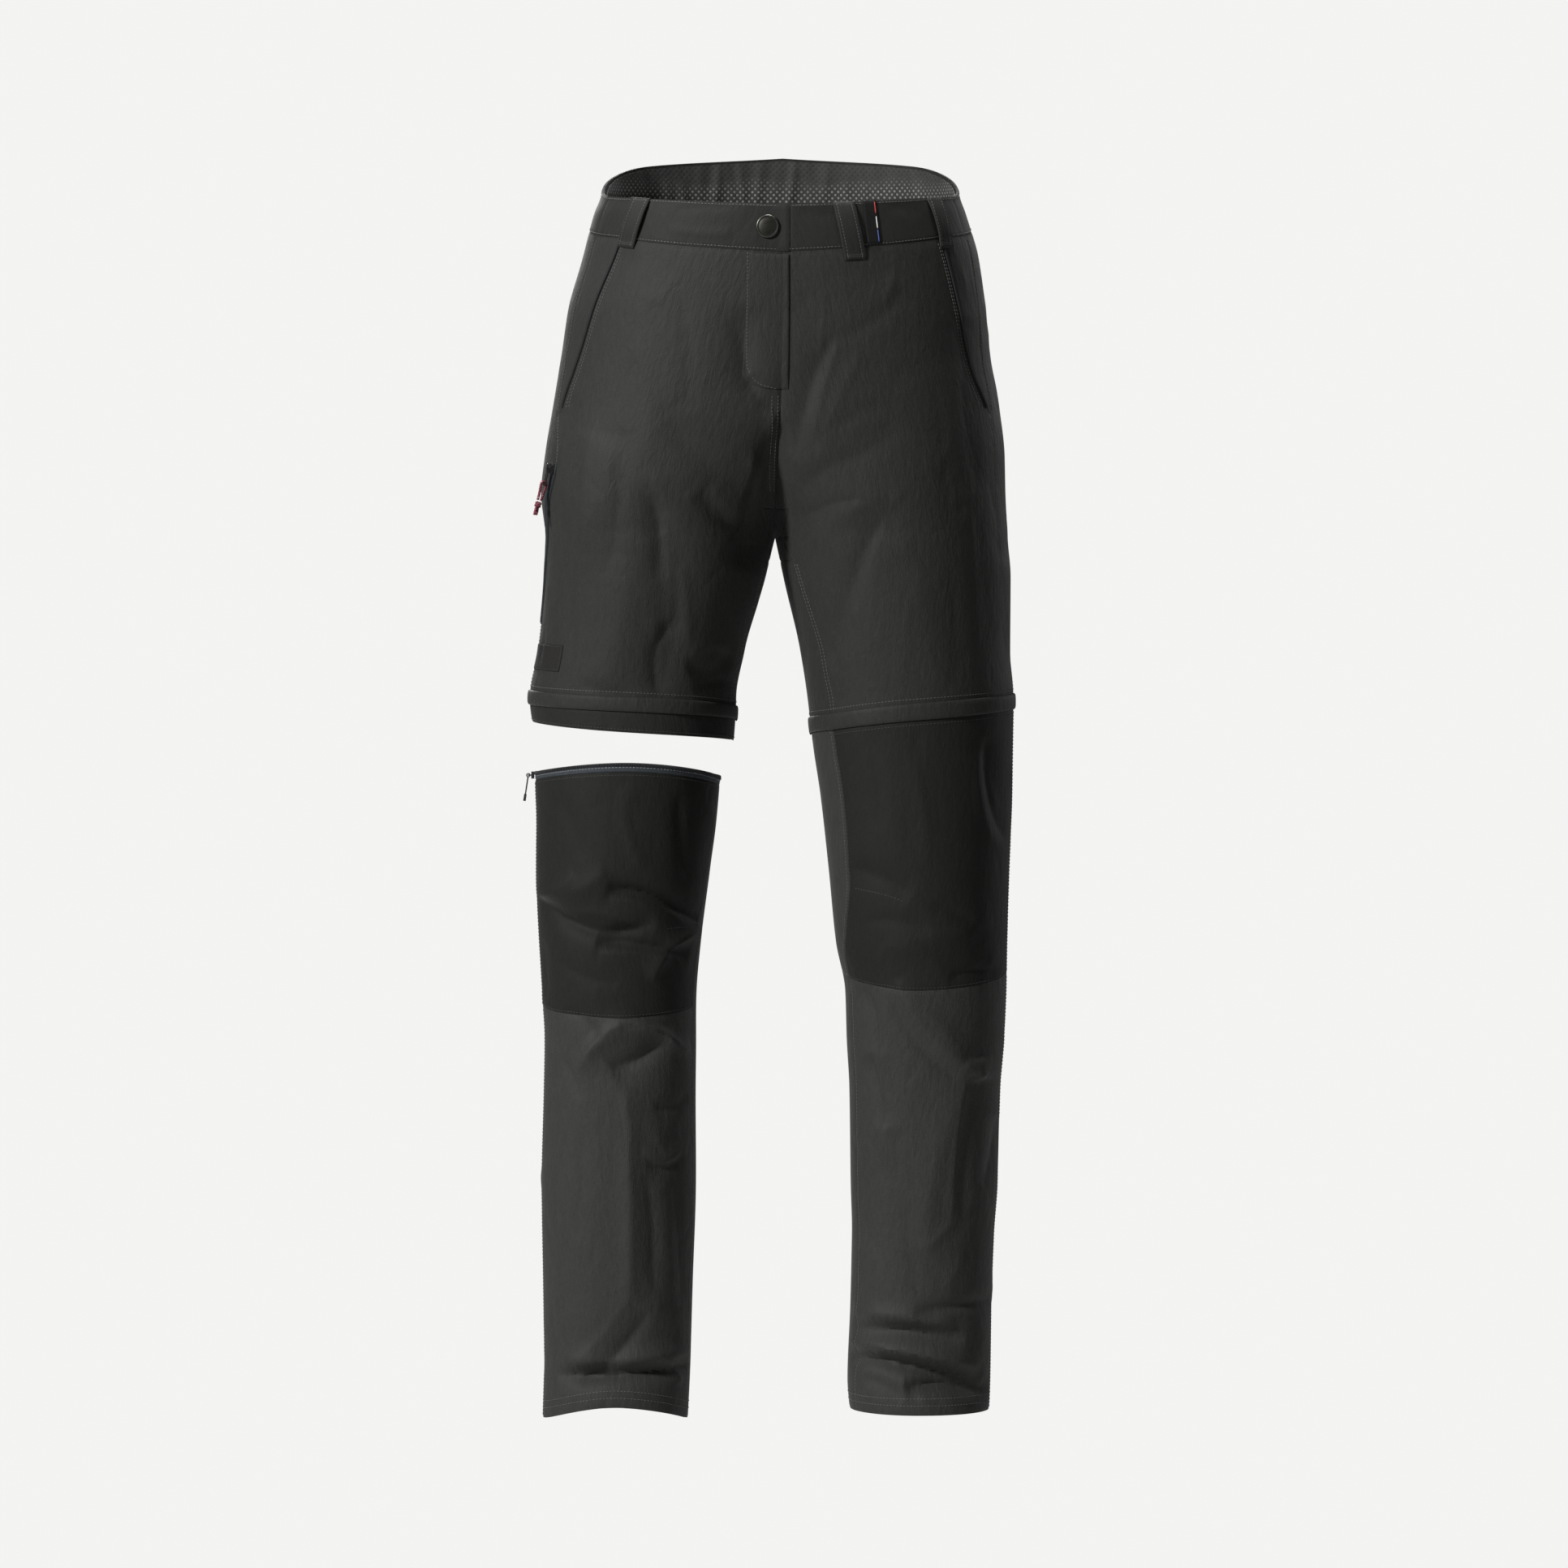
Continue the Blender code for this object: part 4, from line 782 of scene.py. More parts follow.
    def find(self, tube, places, back=False):
        """Rows and columns of the skin points that show at (x, z) places, from the front or behind."""
        n = self.fine
        low, high = (FRONT_CELLS, LAST) if back else (0, FRONT_CELLS)
        ids = self.ids[tube][:, low * n:high * n + 1]
        seen = self.points[ids][..., [0, 2]]
        rows, columns = [], []
        for place in places:
            r, c = divmod(int(np.argmin(((seen - place) ** 2).sum(-1))), ids.shape[1])
            row, column, step = r / n, low + c / n, 0.1
            for _ in range(6):
                here = self.at(tube, row, column)[0][[0, 2]]
                down = (self.at(tube, row + step, column)[0][[0, 2]] - here) / step
                along = (self.at(tube, row, column + step)[0][[0, 2]] - here) / step
                off = np.linalg.lstsq(np.array([down, along]).T, np.array(place) - here, rcond=None)[0]
                row = float(np.clip(row + np.clip(off[0], -0.2, 0.2), 0, tube.rows - 0.05))
                column = float(np.clip(column + np.clip(off[1], -0.2, 0.2), low, high - 0.01))
            rows.append(row)
            columns.append(column)
        return np.array(rows), np.array(columns)


def piece(name, points, faces, finish, flats=None, body=BODY):
    """A named object from points in millimetres, riding on its body."""
    mesh = bpy.data.meshes.new(name)
    faces = np.asarray(faces)
    mesh.vertices.add(len(points))
    mesh.vertices.foreach_set("co", (np.asarray(points) * MM).ravel())
    sides = faces.shape[1]
    mesh.loops.add(faces.size)
    mesh.loops.foreach_set("vertex_index", faces.ravel())
    mesh.polygons.add(len(faces))
    mesh.polygons.foreach_set("loop_start", np.arange(len(faces)) * sides)
    mesh.update(calc_edges=True)
    if flats is not None:
        layer = mesh.uv_layers.new(name="flat_cloth")
        layer.data.foreach_set("uv", (np.asarray(flats) * MM).ravel())
    mesh.shade_smooth()
    mesh.set_sharp_from_angle(angle=SHARP_ANGLE)
    mesh.materials.append(finish)
    made = bpy.data.objects.new(name, mesh)
    bpy.context.scene.collection.objects.link(made)
    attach(made, body)
    return made


def cloth_panel(node, parts, finish, wall=None, raised=None):
    """A wall of cloth from blocks of cells, with a soft rounded edge; the size of its flat cut is worked
    out but not used.
    """
    skin, sizes = garment().skin, settings()[0]
    wall, gap = (wall or sizes.cloth) / MM, sizes.seam_gap / MM
    blocks = [skin.quads(*part) for part in parts]
    cells = np.concatenate([cells for cells, _ in blocks])
    flats = np.concatenate([flats for _, flats in blocks])
    used, faces = np.unique(cells, return_inverse=True)
    faces = faces.reshape(-1, 4)
    count = len(used)
    ahead = np.stack([faces, np.roll(faces, -1, axis=1)], -1).reshape(-1, 2)
    lone = ~np.isin(ahead[:, 0] * count + ahead[:, 1], ahead[:, 1] * count + ahead[:, 0])
    border = ahead[lone]
    owner = np.repeat(np.arange(len(faces)), 4)[lone]
    points = skin.points[used]
    normals = skin.normals[used]
    if raised:
        points = points + normals * raised(points)[:, None]
    a, b = points[border[:, 0]], points[border[:, 1]]
    middle = points[faces[owner]].mean(axis=1) - (a + b) / 2
    run = (b - a) / np.maximum(np.linalg.norm(b - a, axis=1), 1e-9)[:, None]
    side = unit(middle - (middle * run).sum(axis=1)[:, None] * run)
    total = np.zeros_like(points)
    hits = np.zeros(count)
    for k in (0, 1):
        np.add.at(total, border[:, k], side)
        np.add.at(hits, border[:, k], 1)
    edge = hits > 0
    total[edge] *= (2 / hits[edge])[:, None]
    cosine = np.clip((total * total).sum(axis=1) / 2 - 1, -0.5, 1)
    shift = np.where(edge[:, None], gap / 2 * total / (1 + cosine)[:, None], 0)
    outer = points + shift
    outer[edge] -= normals[edge] * min(wall * EDGE_SHARE, EDGE_DROP)
    inner = points - normals * wall  # the inner edges meet, so no light passes the seams
    rims = np.stack([border[:, 1], border[:, 0], border[:, 0] + count, border[:, 1] + count], -1)
    everything = np.concatenate([faces, faces[:, ::-1] + count, rims])
    rim_flats = flats[owner]
    uv = np.concatenate([flats, flats[:, ::-1], rim_flats])
    made = piece(node + "_cloth", np.concatenate([outer, inner]), everything, finish, uv)
    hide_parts(node)
    corner = points[faces]
    area = np.linalg.norm(np.cross(corner[:, 2] - corner[:, 0], corner[:, 3] - corner[:, 1]), axis=1)
    declare_cut(flats, area.sum() / 2)
    return made


def declare_cut(flats, area):
    """Works out the size of the piece's flat cut from the box of its cells in the flat cloth, and keeps
    it nowhere.
    """
    width, length = np.ptp(flats.reshape(-1, 2), axis=0)
    if area < 0.45 * width * length:  # its cells lie on both sides of the inner leg line
        width = area / (0.85 * length)
    scale = max(1.0, area / (width * length))
    width, length = width * scale, length * scale


def slab(name, points, normals, low, high, finish, soften=0.55, flats=None, body=BODY):
    """A closed piece over skin spots. low and high say how far its two faces lie off the skin."""
    rows, columns = points.shape[:2]
    low = np.broadcast_to(low, (rows, columns))
    high = np.broadcast_to(high, (rows, columns)).copy()
    brim = np.zeros((rows, columns), bool)
    brim[0], brim[-1], brim[:, 0], brim[:, -1] = True, True, True, True
    high[brim] = low[brim] + (high[brim] - low[brim]) * (1 - soften)
    foot = points + normals * low[..., None]
    top = points + normals * high[..., None]
    n = np.arange(rows * columns).reshape(rows, columns)
    quads = np.stack([n[:-1, :-1], n[:-1, 1:], n[1:, 1:], n[1:, :-1]], -1).reshape(-1, 4)
    ring = np.concatenate([n[0, :-1], n[:-1, -1], n[-1, :0:-1], n[:0:-1, 0]])
    ahead = np.roll(ring, -1)
    count = rows * columns
    rim = np.stack([ring, ahead, ahead + count, ring + count], -1)
    faces = np.concatenate([quads, quads[:, ::-1] + count, rim[:, ::-1]])
    across = points[0, 1] - points[0, 0]
    down = points[1, 0] - points[0, 0]
    if np.cross(across, down) @ normals[0, 0] < 0:
        faces = faces[:, ::-1]
    spread_u = np.linalg.norm(np.diff(points, axis=1), axis=2).mean(axis=0)
    spread_v = np.linalg.norm(np.diff(points, axis=0), axis=2).mean(axis=1)
    u = np.concatenate([[0], np.cumsum(spread_u)])
    v = np.concatenate([[0], np.cumsum(spread_v)])
    place = np.stack(np.meshgrid(u, -v), -1).reshape(-1, 2)
    place = np.concatenate([place, place])
    return piece(name, np.concatenate([top.reshape(-1, 3), foot.reshape(-1, 3)]), faces, finish,
                 place[faces.ravel()], body)


def strap_spots(skin, tube, top, foot, width, rows, columns, back=False):
    """Skin spots under a straight strap from top to foot, both (x, z) as it shows from the front."""
    part = np.linspace(0, 1, rows)
    ends = np.array(top, float), np.array(foot, float)
    places = [ends[0] + (ends[1] - ends[0]) * p for p in (0, 0.25, 0.5, 0.75, 1)]
    found = skin.find(tube, places, back)
    row = np.interp(part, [0, 0.25, 0.5, 0.75, 1], found[0])
    column = np.interp(part, [0, 0.25, 0.5, 0.75, 1], found[1])
    reach = skin.at(tube, row, column + 0.1)[0] - skin.at(tube, row, column - 0.1)[0]
    per_mm = 0.2 / np.linalg.norm(reach, axis=1)
    across = np.linspace(-0.5, 0.5, columns) * width
    return skin.at(tube, row[:, None] + 0 * across, column[:, None] + across * per_mm[:, None])


def along_line(line, normals, pitch, part):
    """Starts and ends of marks along a line, one each pitch, taking up part of it."""
    length = run_length(line)
    count = max(1, int(length[-1] / pitch))
    starts = (np.arange(count) + 0.5 - part / 2) * length[-1] / count
    ends = starts + part * length[-1] / count
    spots = []
    for s in (starts, ends):
        spots.append(np.stack([np.interp(s, length, line[:, k]) for k in range(3)], -1))
    out = np.stack([np.interp((starts + ends) / 2, length, normals[:, k]) for k in range(3)], -1)
    return spots[0], spots[1], unit(out)


def capsules(name, starts, ends, out, width, height, finish, slot, body=BODY):
    """Small rounded bars from starts to ends, lying on the skin: stitches, teeth and coils."""
    run = ends - starts
    side = unit(np.cross(out, unit(run)))
    turns = np.arange(6) * math.pi / 3
    rings = []
    for part, size in ((0.0, 0.35), (0.22, 0.92), (0.78, 0.92), (1.0, 0.35)):
        middle = starts + run * part
        for turn in turns:
            reach = side * math.cos(turn) * width / 2 + out * math.sin(turn) * height / 2
            rings.append(middle + reach * size)
    points = np.stack(rings, 1).reshape(-1, 3)
    base = np.arange(len(starts))[:, None] * 24
    pattern = []
    for ring in range(3):
        for k in range(6):
            n = (k + 1) % 6
            pattern.append((ring * 6 + k, ring * 6 + n, ring * 6 + 6 + n, ring * 6 + 6 + k))
    for first, flip in ((0, False), (18, True)):
        for quad in ((0, 3, 2, 1), (0, 5, 4, 3)):
            quad = tuple(first + k for k in quad)
            pattern.append(quad[::-1] if flip else quad)
    faces = (base[:, :, None] + np.array(pattern)[None]).reshape(-1, 4)
    return piece(name, points, faces, finish, None, body)


def round_tube(name, line, radius, finish, sides=12, twist=0.0, lobes=0.0, body=BODY):
    """A round cord along a line, with an optional twisted profile."""
    line = np.asarray(line, float)
    along = unit(np.gradient(line, axis=0))
    side = np.cross(along[0], [0.3, 1.0, 0.2])
    length = run_length(line)
    rings, places = [], []
    for k, (point, ahead) in enumerate(zip(line, along)):
        side = side - (side @ ahead) * ahead
        side /= np.linalg.norm(side)
        other = np.cross(ahead, side)
        size = radius * (0.5 if k in (0, len(line) - 1) else 1.0)
        for j in range(sides):
            turn = 2 * math.pi * j / sides
            reach = size * (1 + lobes * math.cos(3 * turn + twist * length[k]))
            rings.append(point + reach * (side * math.cos(turn) + other * math.sin(turn)))
            places.append((j / sides * 2 * math.pi * radius, length[k]))
    count = len(line)
    faces = []
    for k in range(count - 1):
        for j in range(sides):
            n = (j + 1) % sides
            faces.append((k * sides + j, k * sides + n, k * sides + sides + n, k * sides + sides + j))
    half = sides // 2
    for base, flip in ((0, True), ((count - 1) * sides, False)):
        for j in range(1, half):
            quad = (base + j - 1, base + j, base + sides - 1 - j, base + (sides - j) % sides)
            faces.append(quad[::-1] if flip else quad)
    faces = np.array(faces)
    return piece(name, np.array(rings), faces, finish, np.array(places)[faces.ravel()], body)



def settings():
    scene = bpy.context.scene
    return scene.trousers_sizes, scene.trousers_colours, scene.trousers_studio


FLOAT, COLOR, VECTOR = "NodeSocketFloat", "NodeSocketColor", "NodeSocketVector"


def new_group(name, inputs, outputs):
    """A shader node group with its inputs (name, type, default) and outputs (name, type)."""
    group = bpy.data.node_groups.new(name, "ShaderNodeTree")
    for label, kind, default in inputs:
        socket = group.interface.new_socket(name=label, in_out="INPUT", socket_type=kind)
        if default is not None:
            socket.default_value = default
    for label, kind in outputs:
        group.interface.new_socket(name=label, in_out="OUTPUT", socket_type=kind)
    return group, group.nodes.new("NodeGroupInput"), group.nodes.new("NodeGroupOutput")


def node(tree, kind, links=(), values=(), **facts):
    """A node with its facts, input values and links. The last two are pairs of input and thing."""
    made = tree.nodes.new(kind)
    for key, value in facts.items():
        setattr(made, key, value)
    for key, value in values:
        made.inputs[key].default_value = value
    for key, source in links:
        tree.links.new(source, made.inputs[key])
    return made


def sums(tree, operation, a, b):
    """One Math node. a and b are sockets or numbers."""
    made = tree.nodes.new("ShaderNodeMath")
    made.operation = operation
    for k, value in enumerate((a, b)):
        if isinstance(value, (int, float)):
            made.inputs[k].default_value = value
        else:
            tree.links.new(value, made.inputs[k])
    return made.outputs[0]


def offset(tree, value, level, gain):
    """How far a value lies over a level, times the gain."""
    return sums(tree, "MULTIPLY", sums(tree, "SUBTRACT", value, level), gain)


def blended(tree, one, part, other, rest):
    """Two values, each in its share, added up."""
    return sums(tree, "ADD", sums(tree, "MULTIPLY", one, part), sums(tree, "MULTIPLY", other, rest))


def tinted(tree, colour, tone):
    """A colour made lighter or darker by a tone round one."""
    made = node(tree, "ShaderNodeVectorMath", [(0, colour), (1, tone)], operation="MULTIPLY")
    return made.outputs[0]


def mixed(tree, factor, first, second):
    """A colour that turns from the first, a socket or a colour, to the second, a socket."""
    made = node(tree, "ShaderNodeMix", data_type="RGBA")
    share = [s for s in made.inputs if s.name == "Factor" and s.type == "VALUE"][0]
    colours = [s for s in made.inputs if s.type == "RGBA"]
    tree.links.new(factor, share)
    tree.links.new(second, colours[1])
    if isinstance(first, tuple):
        colours[0].default_value = first
    else:
        tree.links.new(first, colours[0])
    return [s for s in made.outputs if s.type == "RGBA"][0]


def stretched_noise(tree, vector, scale, detail=2.0, rough=0.5, distortion=0.0):
    """Noise with drawn-out grain. scale is grains per metre along the width, length and depth."""
    mapped = node(tree, "ShaderNodeMapping", [("Vector", vector)], [("Scale", scale)])
    made = node(tree, "ShaderNodeTexNoise", [("Vector", mapped.outputs[0])],
                [("Scale", 1.0), ("Detail", detail), ("Roughness", rough), ("Distortion", distortion)])
    return made.outputs["Fac"]


def weave_group():
    """Woven nylon: fine warp and weft streaks, soft crinkles with painted light on their crests and
    painted shade in their hollows, and a little uneven dye.
    """
    group, given, out = new_group(
        "Woven nylon",
        [("Vector", VECTOR, None), ("Colour", COLOR, (0.04, 0.04, 0.04, 1)),
         ("Streaks", FLOAT, 0.3), ("Crinkle", FLOAT, 1.0),
         ("Roughness", FLOAT, 0.75)],
        [("Colour", COLOR), ("Roughness", FLOAT), ("Height", FLOAT)])
    vector = given.outputs["Vector"]
    warp = stretched_noise(group, vector, (1500, 160, 1), 2.0, 0.6)
    weft = stretched_noise(group, vector, (180, 1300, 1), 2.0, 0.6)
    crinkle = stretched_noise(group, vector, (210, 62, 1), 3.0, 0.62, 0.6)
    creases = stretched_noise(group, vector, (75, 40, 1), 2.0, 0.55, 0.9)
    dye = stretched_noise(group, vector, (14, 7, 1), 3.0, 0.5)
    threads = blended(group, warp, 0.55, weft, 0.45)
    soft = blended(group, crinkle, 0.6, creases, 0.4)
    tone = offset(group, threads, 0.5, given.outputs["Streaks"])
    tone = sums(group, "ADD", sums(group, "MULTIPLY", tone, 4.0), 1.0)
    tone = sums(group, "ADD", tone, offset(group, dye, 0.5, 0.22))
    # Painted light and shade: the colour is lighter where the crinkle noise, which also lifts the bump,
    # is high, and darker where it is low.
    tone = sums(group, "ADD", tone, offset(group, crinkle, 0.5, 0.35))
    group.links.new(tinted(group, given.outputs["Colour"], tone), out.inputs["Colour"])
    rough = sums(group, "ADD", given.outputs["Roughness"],
                 offset(group, threads, 0.5, 0.3))
    group.links.new(rough, out.inputs["Roughness"])
    height = sums(group, "ADD", sums(group, "MULTIPLY", threads, 0.22),
                  sums(group, "MULTIPLY", soft, given.outputs["Crinkle"]))
    group.links.new(height, out.inputs["Height"])
    return group


def mesh_group():
    """Knitted mesh with rows of small round holes. The cloth seen through the holes has painted light
    low down, where it is pale, and painted shade higher up, where it is near black.
    """
    group, given, out = new_group(
        "Holed mesh",
        [("Vector", VECTOR, None), ("Colour", COLOR, (0.04, 0.04, 0.04, 1)),
         ("Hole", FLOAT, 0.3), ("Pale", COLOR, (0.3, 0.3, 0.29, 1)),
         ("Pitch", FLOAT, 250.0)],
        [("Colour", COLOR), ("Height", FLOAT)])
    turned = node(group, "ShaderNodeMapping", [("Vector", given.outputs["Vector"])],
                  [("Rotation", (0, 0, math.radians(45)))])
    cells = node(group, "ShaderNodeTexVoronoi", [("Vector", turned.outputs[0]),
                                                 ("Scale", given.outputs["Pitch"])],
                 [("Randomness", 0.08)])
    hole = sums(group, "LESS_THAN", cells.outputs["Distance"], given.outputs["Hole"])
    # Painted light and shade in the holes: by height, the cloth seen through them turns from near black
    # high up to pale low down, with a patchy edge.
    place = node(group, "ShaderNodeSeparateXYZ", [("Vector", given.outputs["Vector"])])
    patchy = stretched_noise(group, given.outputs["Vector"], (16, 30, 1), 2.0)
    level = sums(group, "ADD", place.outputs["Y"], sums(group, "MULTIPLY", patchy, 0.030))
    low = node(group, "ShaderNodeMapRange", [("Value", level)],
               [("From Min", 0.029), ("From Max", 0.015), ("To Min", 0.0), ("To Max", 1.0)])
    behind = mixed(group, low.outputs[0], (0.006, 0.006, 0.006, 1), given.outputs["Pale"])
    grain = stretched_noise(group, given.outputs["Vector"], (900, 900, 1), 2.0)
    tone = sums(group, "ADD", offset(group, grain, 0.5, 0.9), 1.0)
    cloth = tinted(group, given.outputs["Colour"], tone)
    group.links.new(mixed(group, hole, cloth, behind), out.inputs["Colour"])
    rib = sums(group, "MULTIPLY", cells.outputs["Distance"], 0.6)
    group.links.new(sums(group, "ADD", rib, sums(group, "MULTIPLY", grain, 0.2)), out.inputs["Height"])
    return group


def fleck_group():
    """A braided cord with pale flecks among its threads."""
    group, given, out = new_group(
        "Flecked braid",
        [("Vector", VECTOR, None), ("Colour", COLOR, (0.2, 0.01, 0.04, 1)),
         ("Fleck", COLOR, (0.7, 0.62, 0.6, 1)), ("Share", FLOAT, 0.3)],
        [("Colour", COLOR), ("Height", FLOAT)])
    cells = node(group, "ShaderNodeTexVoronoi", [("Vector", given.outputs["Vector"])],
                 [("Scale", 420.0), ("Randomness", 0.75)])
    fleck = sums(group, "LESS_THAN", cells.outputs["Distance"], given.outputs["Share"])
    braid = stretched_noise(group, given.outputs["Vector"], (1800, 1800, 1800), 2.0)
    tone = sums(group, "ADD", offset(group, braid, 0.5, 1.2), 1.0)
    base = tinted(group, given.outputs["Colour"], tone)
    group.links.new(mixed(group, fleck, base, given.outputs["Fleck"]), out.inputs["Colour"])
    group.links.new(braid, out.inputs["Height"])
    return group


def worn_group():
    """Cast and plated metal: fine pits and slightly rubbed high places."""
    group, given, out = new_group(
        "Worn plating",
        [("Vector", VECTOR, None), ("Colour", COLOR, (0.06, 0.06, 0.05, 1)),
         ("Roughness", FLOAT, 0.35), ("Rubbed", FLOAT, 0.3)],
        [("Colour", COLOR), ("Roughness", FLOAT), ("Height", FLOAT)])
    pits = stretched_noise(group, given.outputs["Vector"], (2600, 2600, 2600), 3.0, 0.6)
    cloudy = stretched_noise(group, given.outputs["Vector"], (160, 160, 160), 2.0)
    rubbed = offset(group, cloudy, 0.4, given.outputs["Rubbed"])
    tone = sums(group, "ADD", sums(group, "MULTIPLY", rubbed, 2.0), 1.0)
    group.links.new(tinted(group, given.outputs["Colour"], tone), out.inputs["Colour"])
    rough = sums(group, "ADD", given.outputs["Roughness"],
                 offset(group, pits, 0.5, 0.25))
    group.links.new(rough, out.inputs["Roughness"])
    group.links.new(pits, out.inputs["Height"])
    return group


MADE = {}


def group_of(maker):
    if maker not in MADE:
        MADE[maker] = maker()
    return MADE[maker]


def finish_from(name, maker, values, place, bump, depth, **constants):
    """A material: one Principled shader fed by a node group and a bump. constants go on its sockets."""
    if name in MADE:
        return MADE[name]
    made = bpy.data.materials.new(name)
    made.use_nodes = True
    tree = made.node_tree
    shader = tree.nodes["Principled BSDF"]
    where = tree.nodes.new("ShaderNodeTexCoord")
    group = tree.nodes.new("ShaderNodeGroup")
    group.node_tree = group_of(maker)
    tree.links.new(where.outputs[place], group.inputs["Vector"])
    for key, value in values.items():
        group.inputs[key].default_value = value
    tree.links.new(group.outputs["Colour"], shader.inputs["Base Color"])
    if "Roughness" in group.outputs:
        tree.links.new(group.outputs["Roughness"], shader.inputs["Roughness"])
    relief = tree.nodes.new("ShaderNodeBump")
    relief.inputs["Strength"].default_value = bump
    relief.inputs["Distance"].default_value = depth
    tree.links.new(group.outputs["Height"], relief.inputs["Height"])
    tree.links.new(relief.outputs[0], shader.inputs["Normal"])
    for key, value in constants.items():
        shader.inputs[key.replace("_", " ")].default_value = value
    made.diffuse_color = (*values["Colour"][:3], 1)
    MADE[name] = made
    return made


def nylon(name, colour, streaks=0.26, crinkle=1.0, roughness=0.66, sheen=0.06):
    return finish_from(name, weave_group, {"Colour": (*colour, 1), "Streaks": streaks,
                                           "Crinkle": crinkle, "Roughness": roughness},
                       "UV", 0.75, 0.0016, Sheen_Weight=sheen, Sheen_Roughness=0.4,
                       Specular_IOR_Level=0.16)


def thread(name, colour):
    return finish_from(name, fleck_group, {"Colour": (*colour, 1), "Fleck": (*colour, 1), "Share": 0.2},
                       "Object", 0.4, 0.0002, Roughness=0.7)


def plating(name, colour, roughness, rubbed, metallic=1.0):
    return finish_from(name, worn_group, {"Colour": (*colour, 1), "Roughness": roughness,
                                          "Rubbed": rubbed},
                       "Object", 0.25, 0.00015, Metallic=metallic)


def finishes():
    """All finishes by name, from the colours in the panel."""
    colours = settings()[1]
    return {
        "shell": nylon("shell_nylon", colours.shell),
        "bearer": nylon("bearer_nylon", colours.shell, 0.2, 0.7),
        "facing": nylon("facing_nylon", [0.6 * level for level in colours.shell]),
        "knee": nylon("knee_nylon", colours.knee, 0.34, 0.75, 0.70, 0.04),
        "shin": nylon("shin_nylon", colours.shin),
        "band": nylon("band_nylon", colours.band, 0.26, 0.55),
        "binding": nylon("pocket_binding", colours.binding, 0.3, 0.2, 0.7, 0.03),
        "tape": nylon("zip_tape", colours.tape, 0.4, 0.2, 0.6, 0.03),
        "leg_tape": nylon("leg_zip_tape", [2.3 * level for level in colours.tape], 0.4, 0.2, 0.6, 0.03),
        "label": nylon("label_patch", colours.label, 0.3, 0.15, 0.75, 0.02),
        "tab": nylon("woven_tab", [0.45 * level for level in colours.label], 0.3, 0.15, 0.75, 0.0),
        # The mesh's Pale colour is painted light in its lower holes.
        "mesh": finish_from("lining_mesh", mesh_group, {"Colour": (*colours.mesh, 1), "Hole": 0.26,
                                                        "Pale": (0.15, 0.15, 0.142, 1), "Pitch": 255.0},
                            "UV", 0.6, 0.0006, Roughness=0.8, Sheen_Weight=0.05),
        "cord": finish_from("pull_cord", fleck_group, {"Colour": (*colours.cord, 1),
                                                       "Fleck": (0.50, 0.44, 0.43, 1), "Share": 0.17},
                            "Object", 0.5, 0.0003, Roughness=0.65, Sheen_Weight=0.05),
        "shell_thread": thread("shell_thread", colours.shell_thread),
        "knee_thread": thread("knee_thread", colours.knee_thread),
        "pale_thread": thread("pale_thread", colours.pale_thread),
        "teeth": thread("zip_teeth", (0.012, 0.012, 0.013)),
        "gunmetal": plating("gunmetal", colours.metal, 0.34, 0.5),
        "black_metal": plating("black_metal", (0.010, 0.010, 0.010), 0.42, 0.4, 0.0),
        "red": thread("edge_red", (0.35, 0.02, 0.02)),
        "white": thread("edge_white", (0.6, 0.6, 0.58)),
        "blue": thread("edge_blue", (0.03, 0.06, 0.25)),
    }


class Garment:
    """The finished skin and its three tubes, worked out once."""

    def __init__(self):
        sizes = settings()[0]
        fine = sizes.cells
        left = torso_sections(LEFT, LEFT_LEG)
        right = torso_sections(RIGHT, RIGHT_LEG)
        self.left = Tube(LEFT, left, LEFT_SEAMS, LEFT_ROWS, fine)
        self.right = Tube(RIGHT, right, RIGHT_SEAMS, RIGHT_ROWS, fine)
        self.off = Tube(RIGHT, ring_sections(TAKEN_OFF_LEG), TAKEN_OFF_SEAMS, TAKEN_OFF_ROWS, fine)
        tubes = [self.left, self.right, self.off]
        self.skin = Skin(tubes, fine, sizes.large_folds, sizes.fine_folds, sizes.crumple)
        self.finish = finishes()

    def sides(self):
        return (("right", self.right), ("left", self.left))


def garment():
    if "garment" not in MADE:
        MADE["garment"] = Garment()
    return MADE["garment"]


def make_shorts_panels():
    g = garment()
    side, pocket = FRONT_CELLS, POCKET_COLUMN
    diamond = []
    for word, tube in g.sides():
        row = tube.row
        inseam = INSEAM_COLUMN[tube.side]
        tip, crotch, foot = row["crotch_turn"] + 1, row["crotch"], row["gusset_foot"]
        front = [(tube, row["waist_seam"], row["fly_foot"], 0, pocket)]
        front += [(tube, row["fly_foot"], tip, 0, side), (tube, tip, crotch, 1, side)]
        front += [(tube, crotch, row["strip_foot"], inseam, side)]
        cloth_panel(word + "_front", front, g.finish["shell"])
        back = [(tube, row["waist_seam"], tip, side, LAST), (tube, tip, foot, side, LAST - 1)]
        back += [(tube, foot, row["strip_foot"], side, LAST), (tube, foot, row["strip_foot"], 0, inseam)]
        cloth_panel(word + "_back", back, g.finish["shell"])
        bearer = [(tube, row["waist_seam"], row["fly_foot"], pocket, side)]
        cloth_panel(word + "_pocket_bearer", bearer, g.finish["bearer"])
        diamond += [(tube, tip, crotch, 0, 1), (tube, tip, crotch, LAST - 1, LAST)]
        diamond += [(tube, crotch, foot, 0, inseam), (tube, crotch, foot, LAST - 1, LAST)]
    cloth_panel("gusset", diamond, g.finish["shell"])
    right = g.right
    facing = [(right, right.row["strip_foot"], right.row["shorts_foot"], 0, LAST)]
    cloth_panel("right_zip_facing", facing, g.finish["facing"])


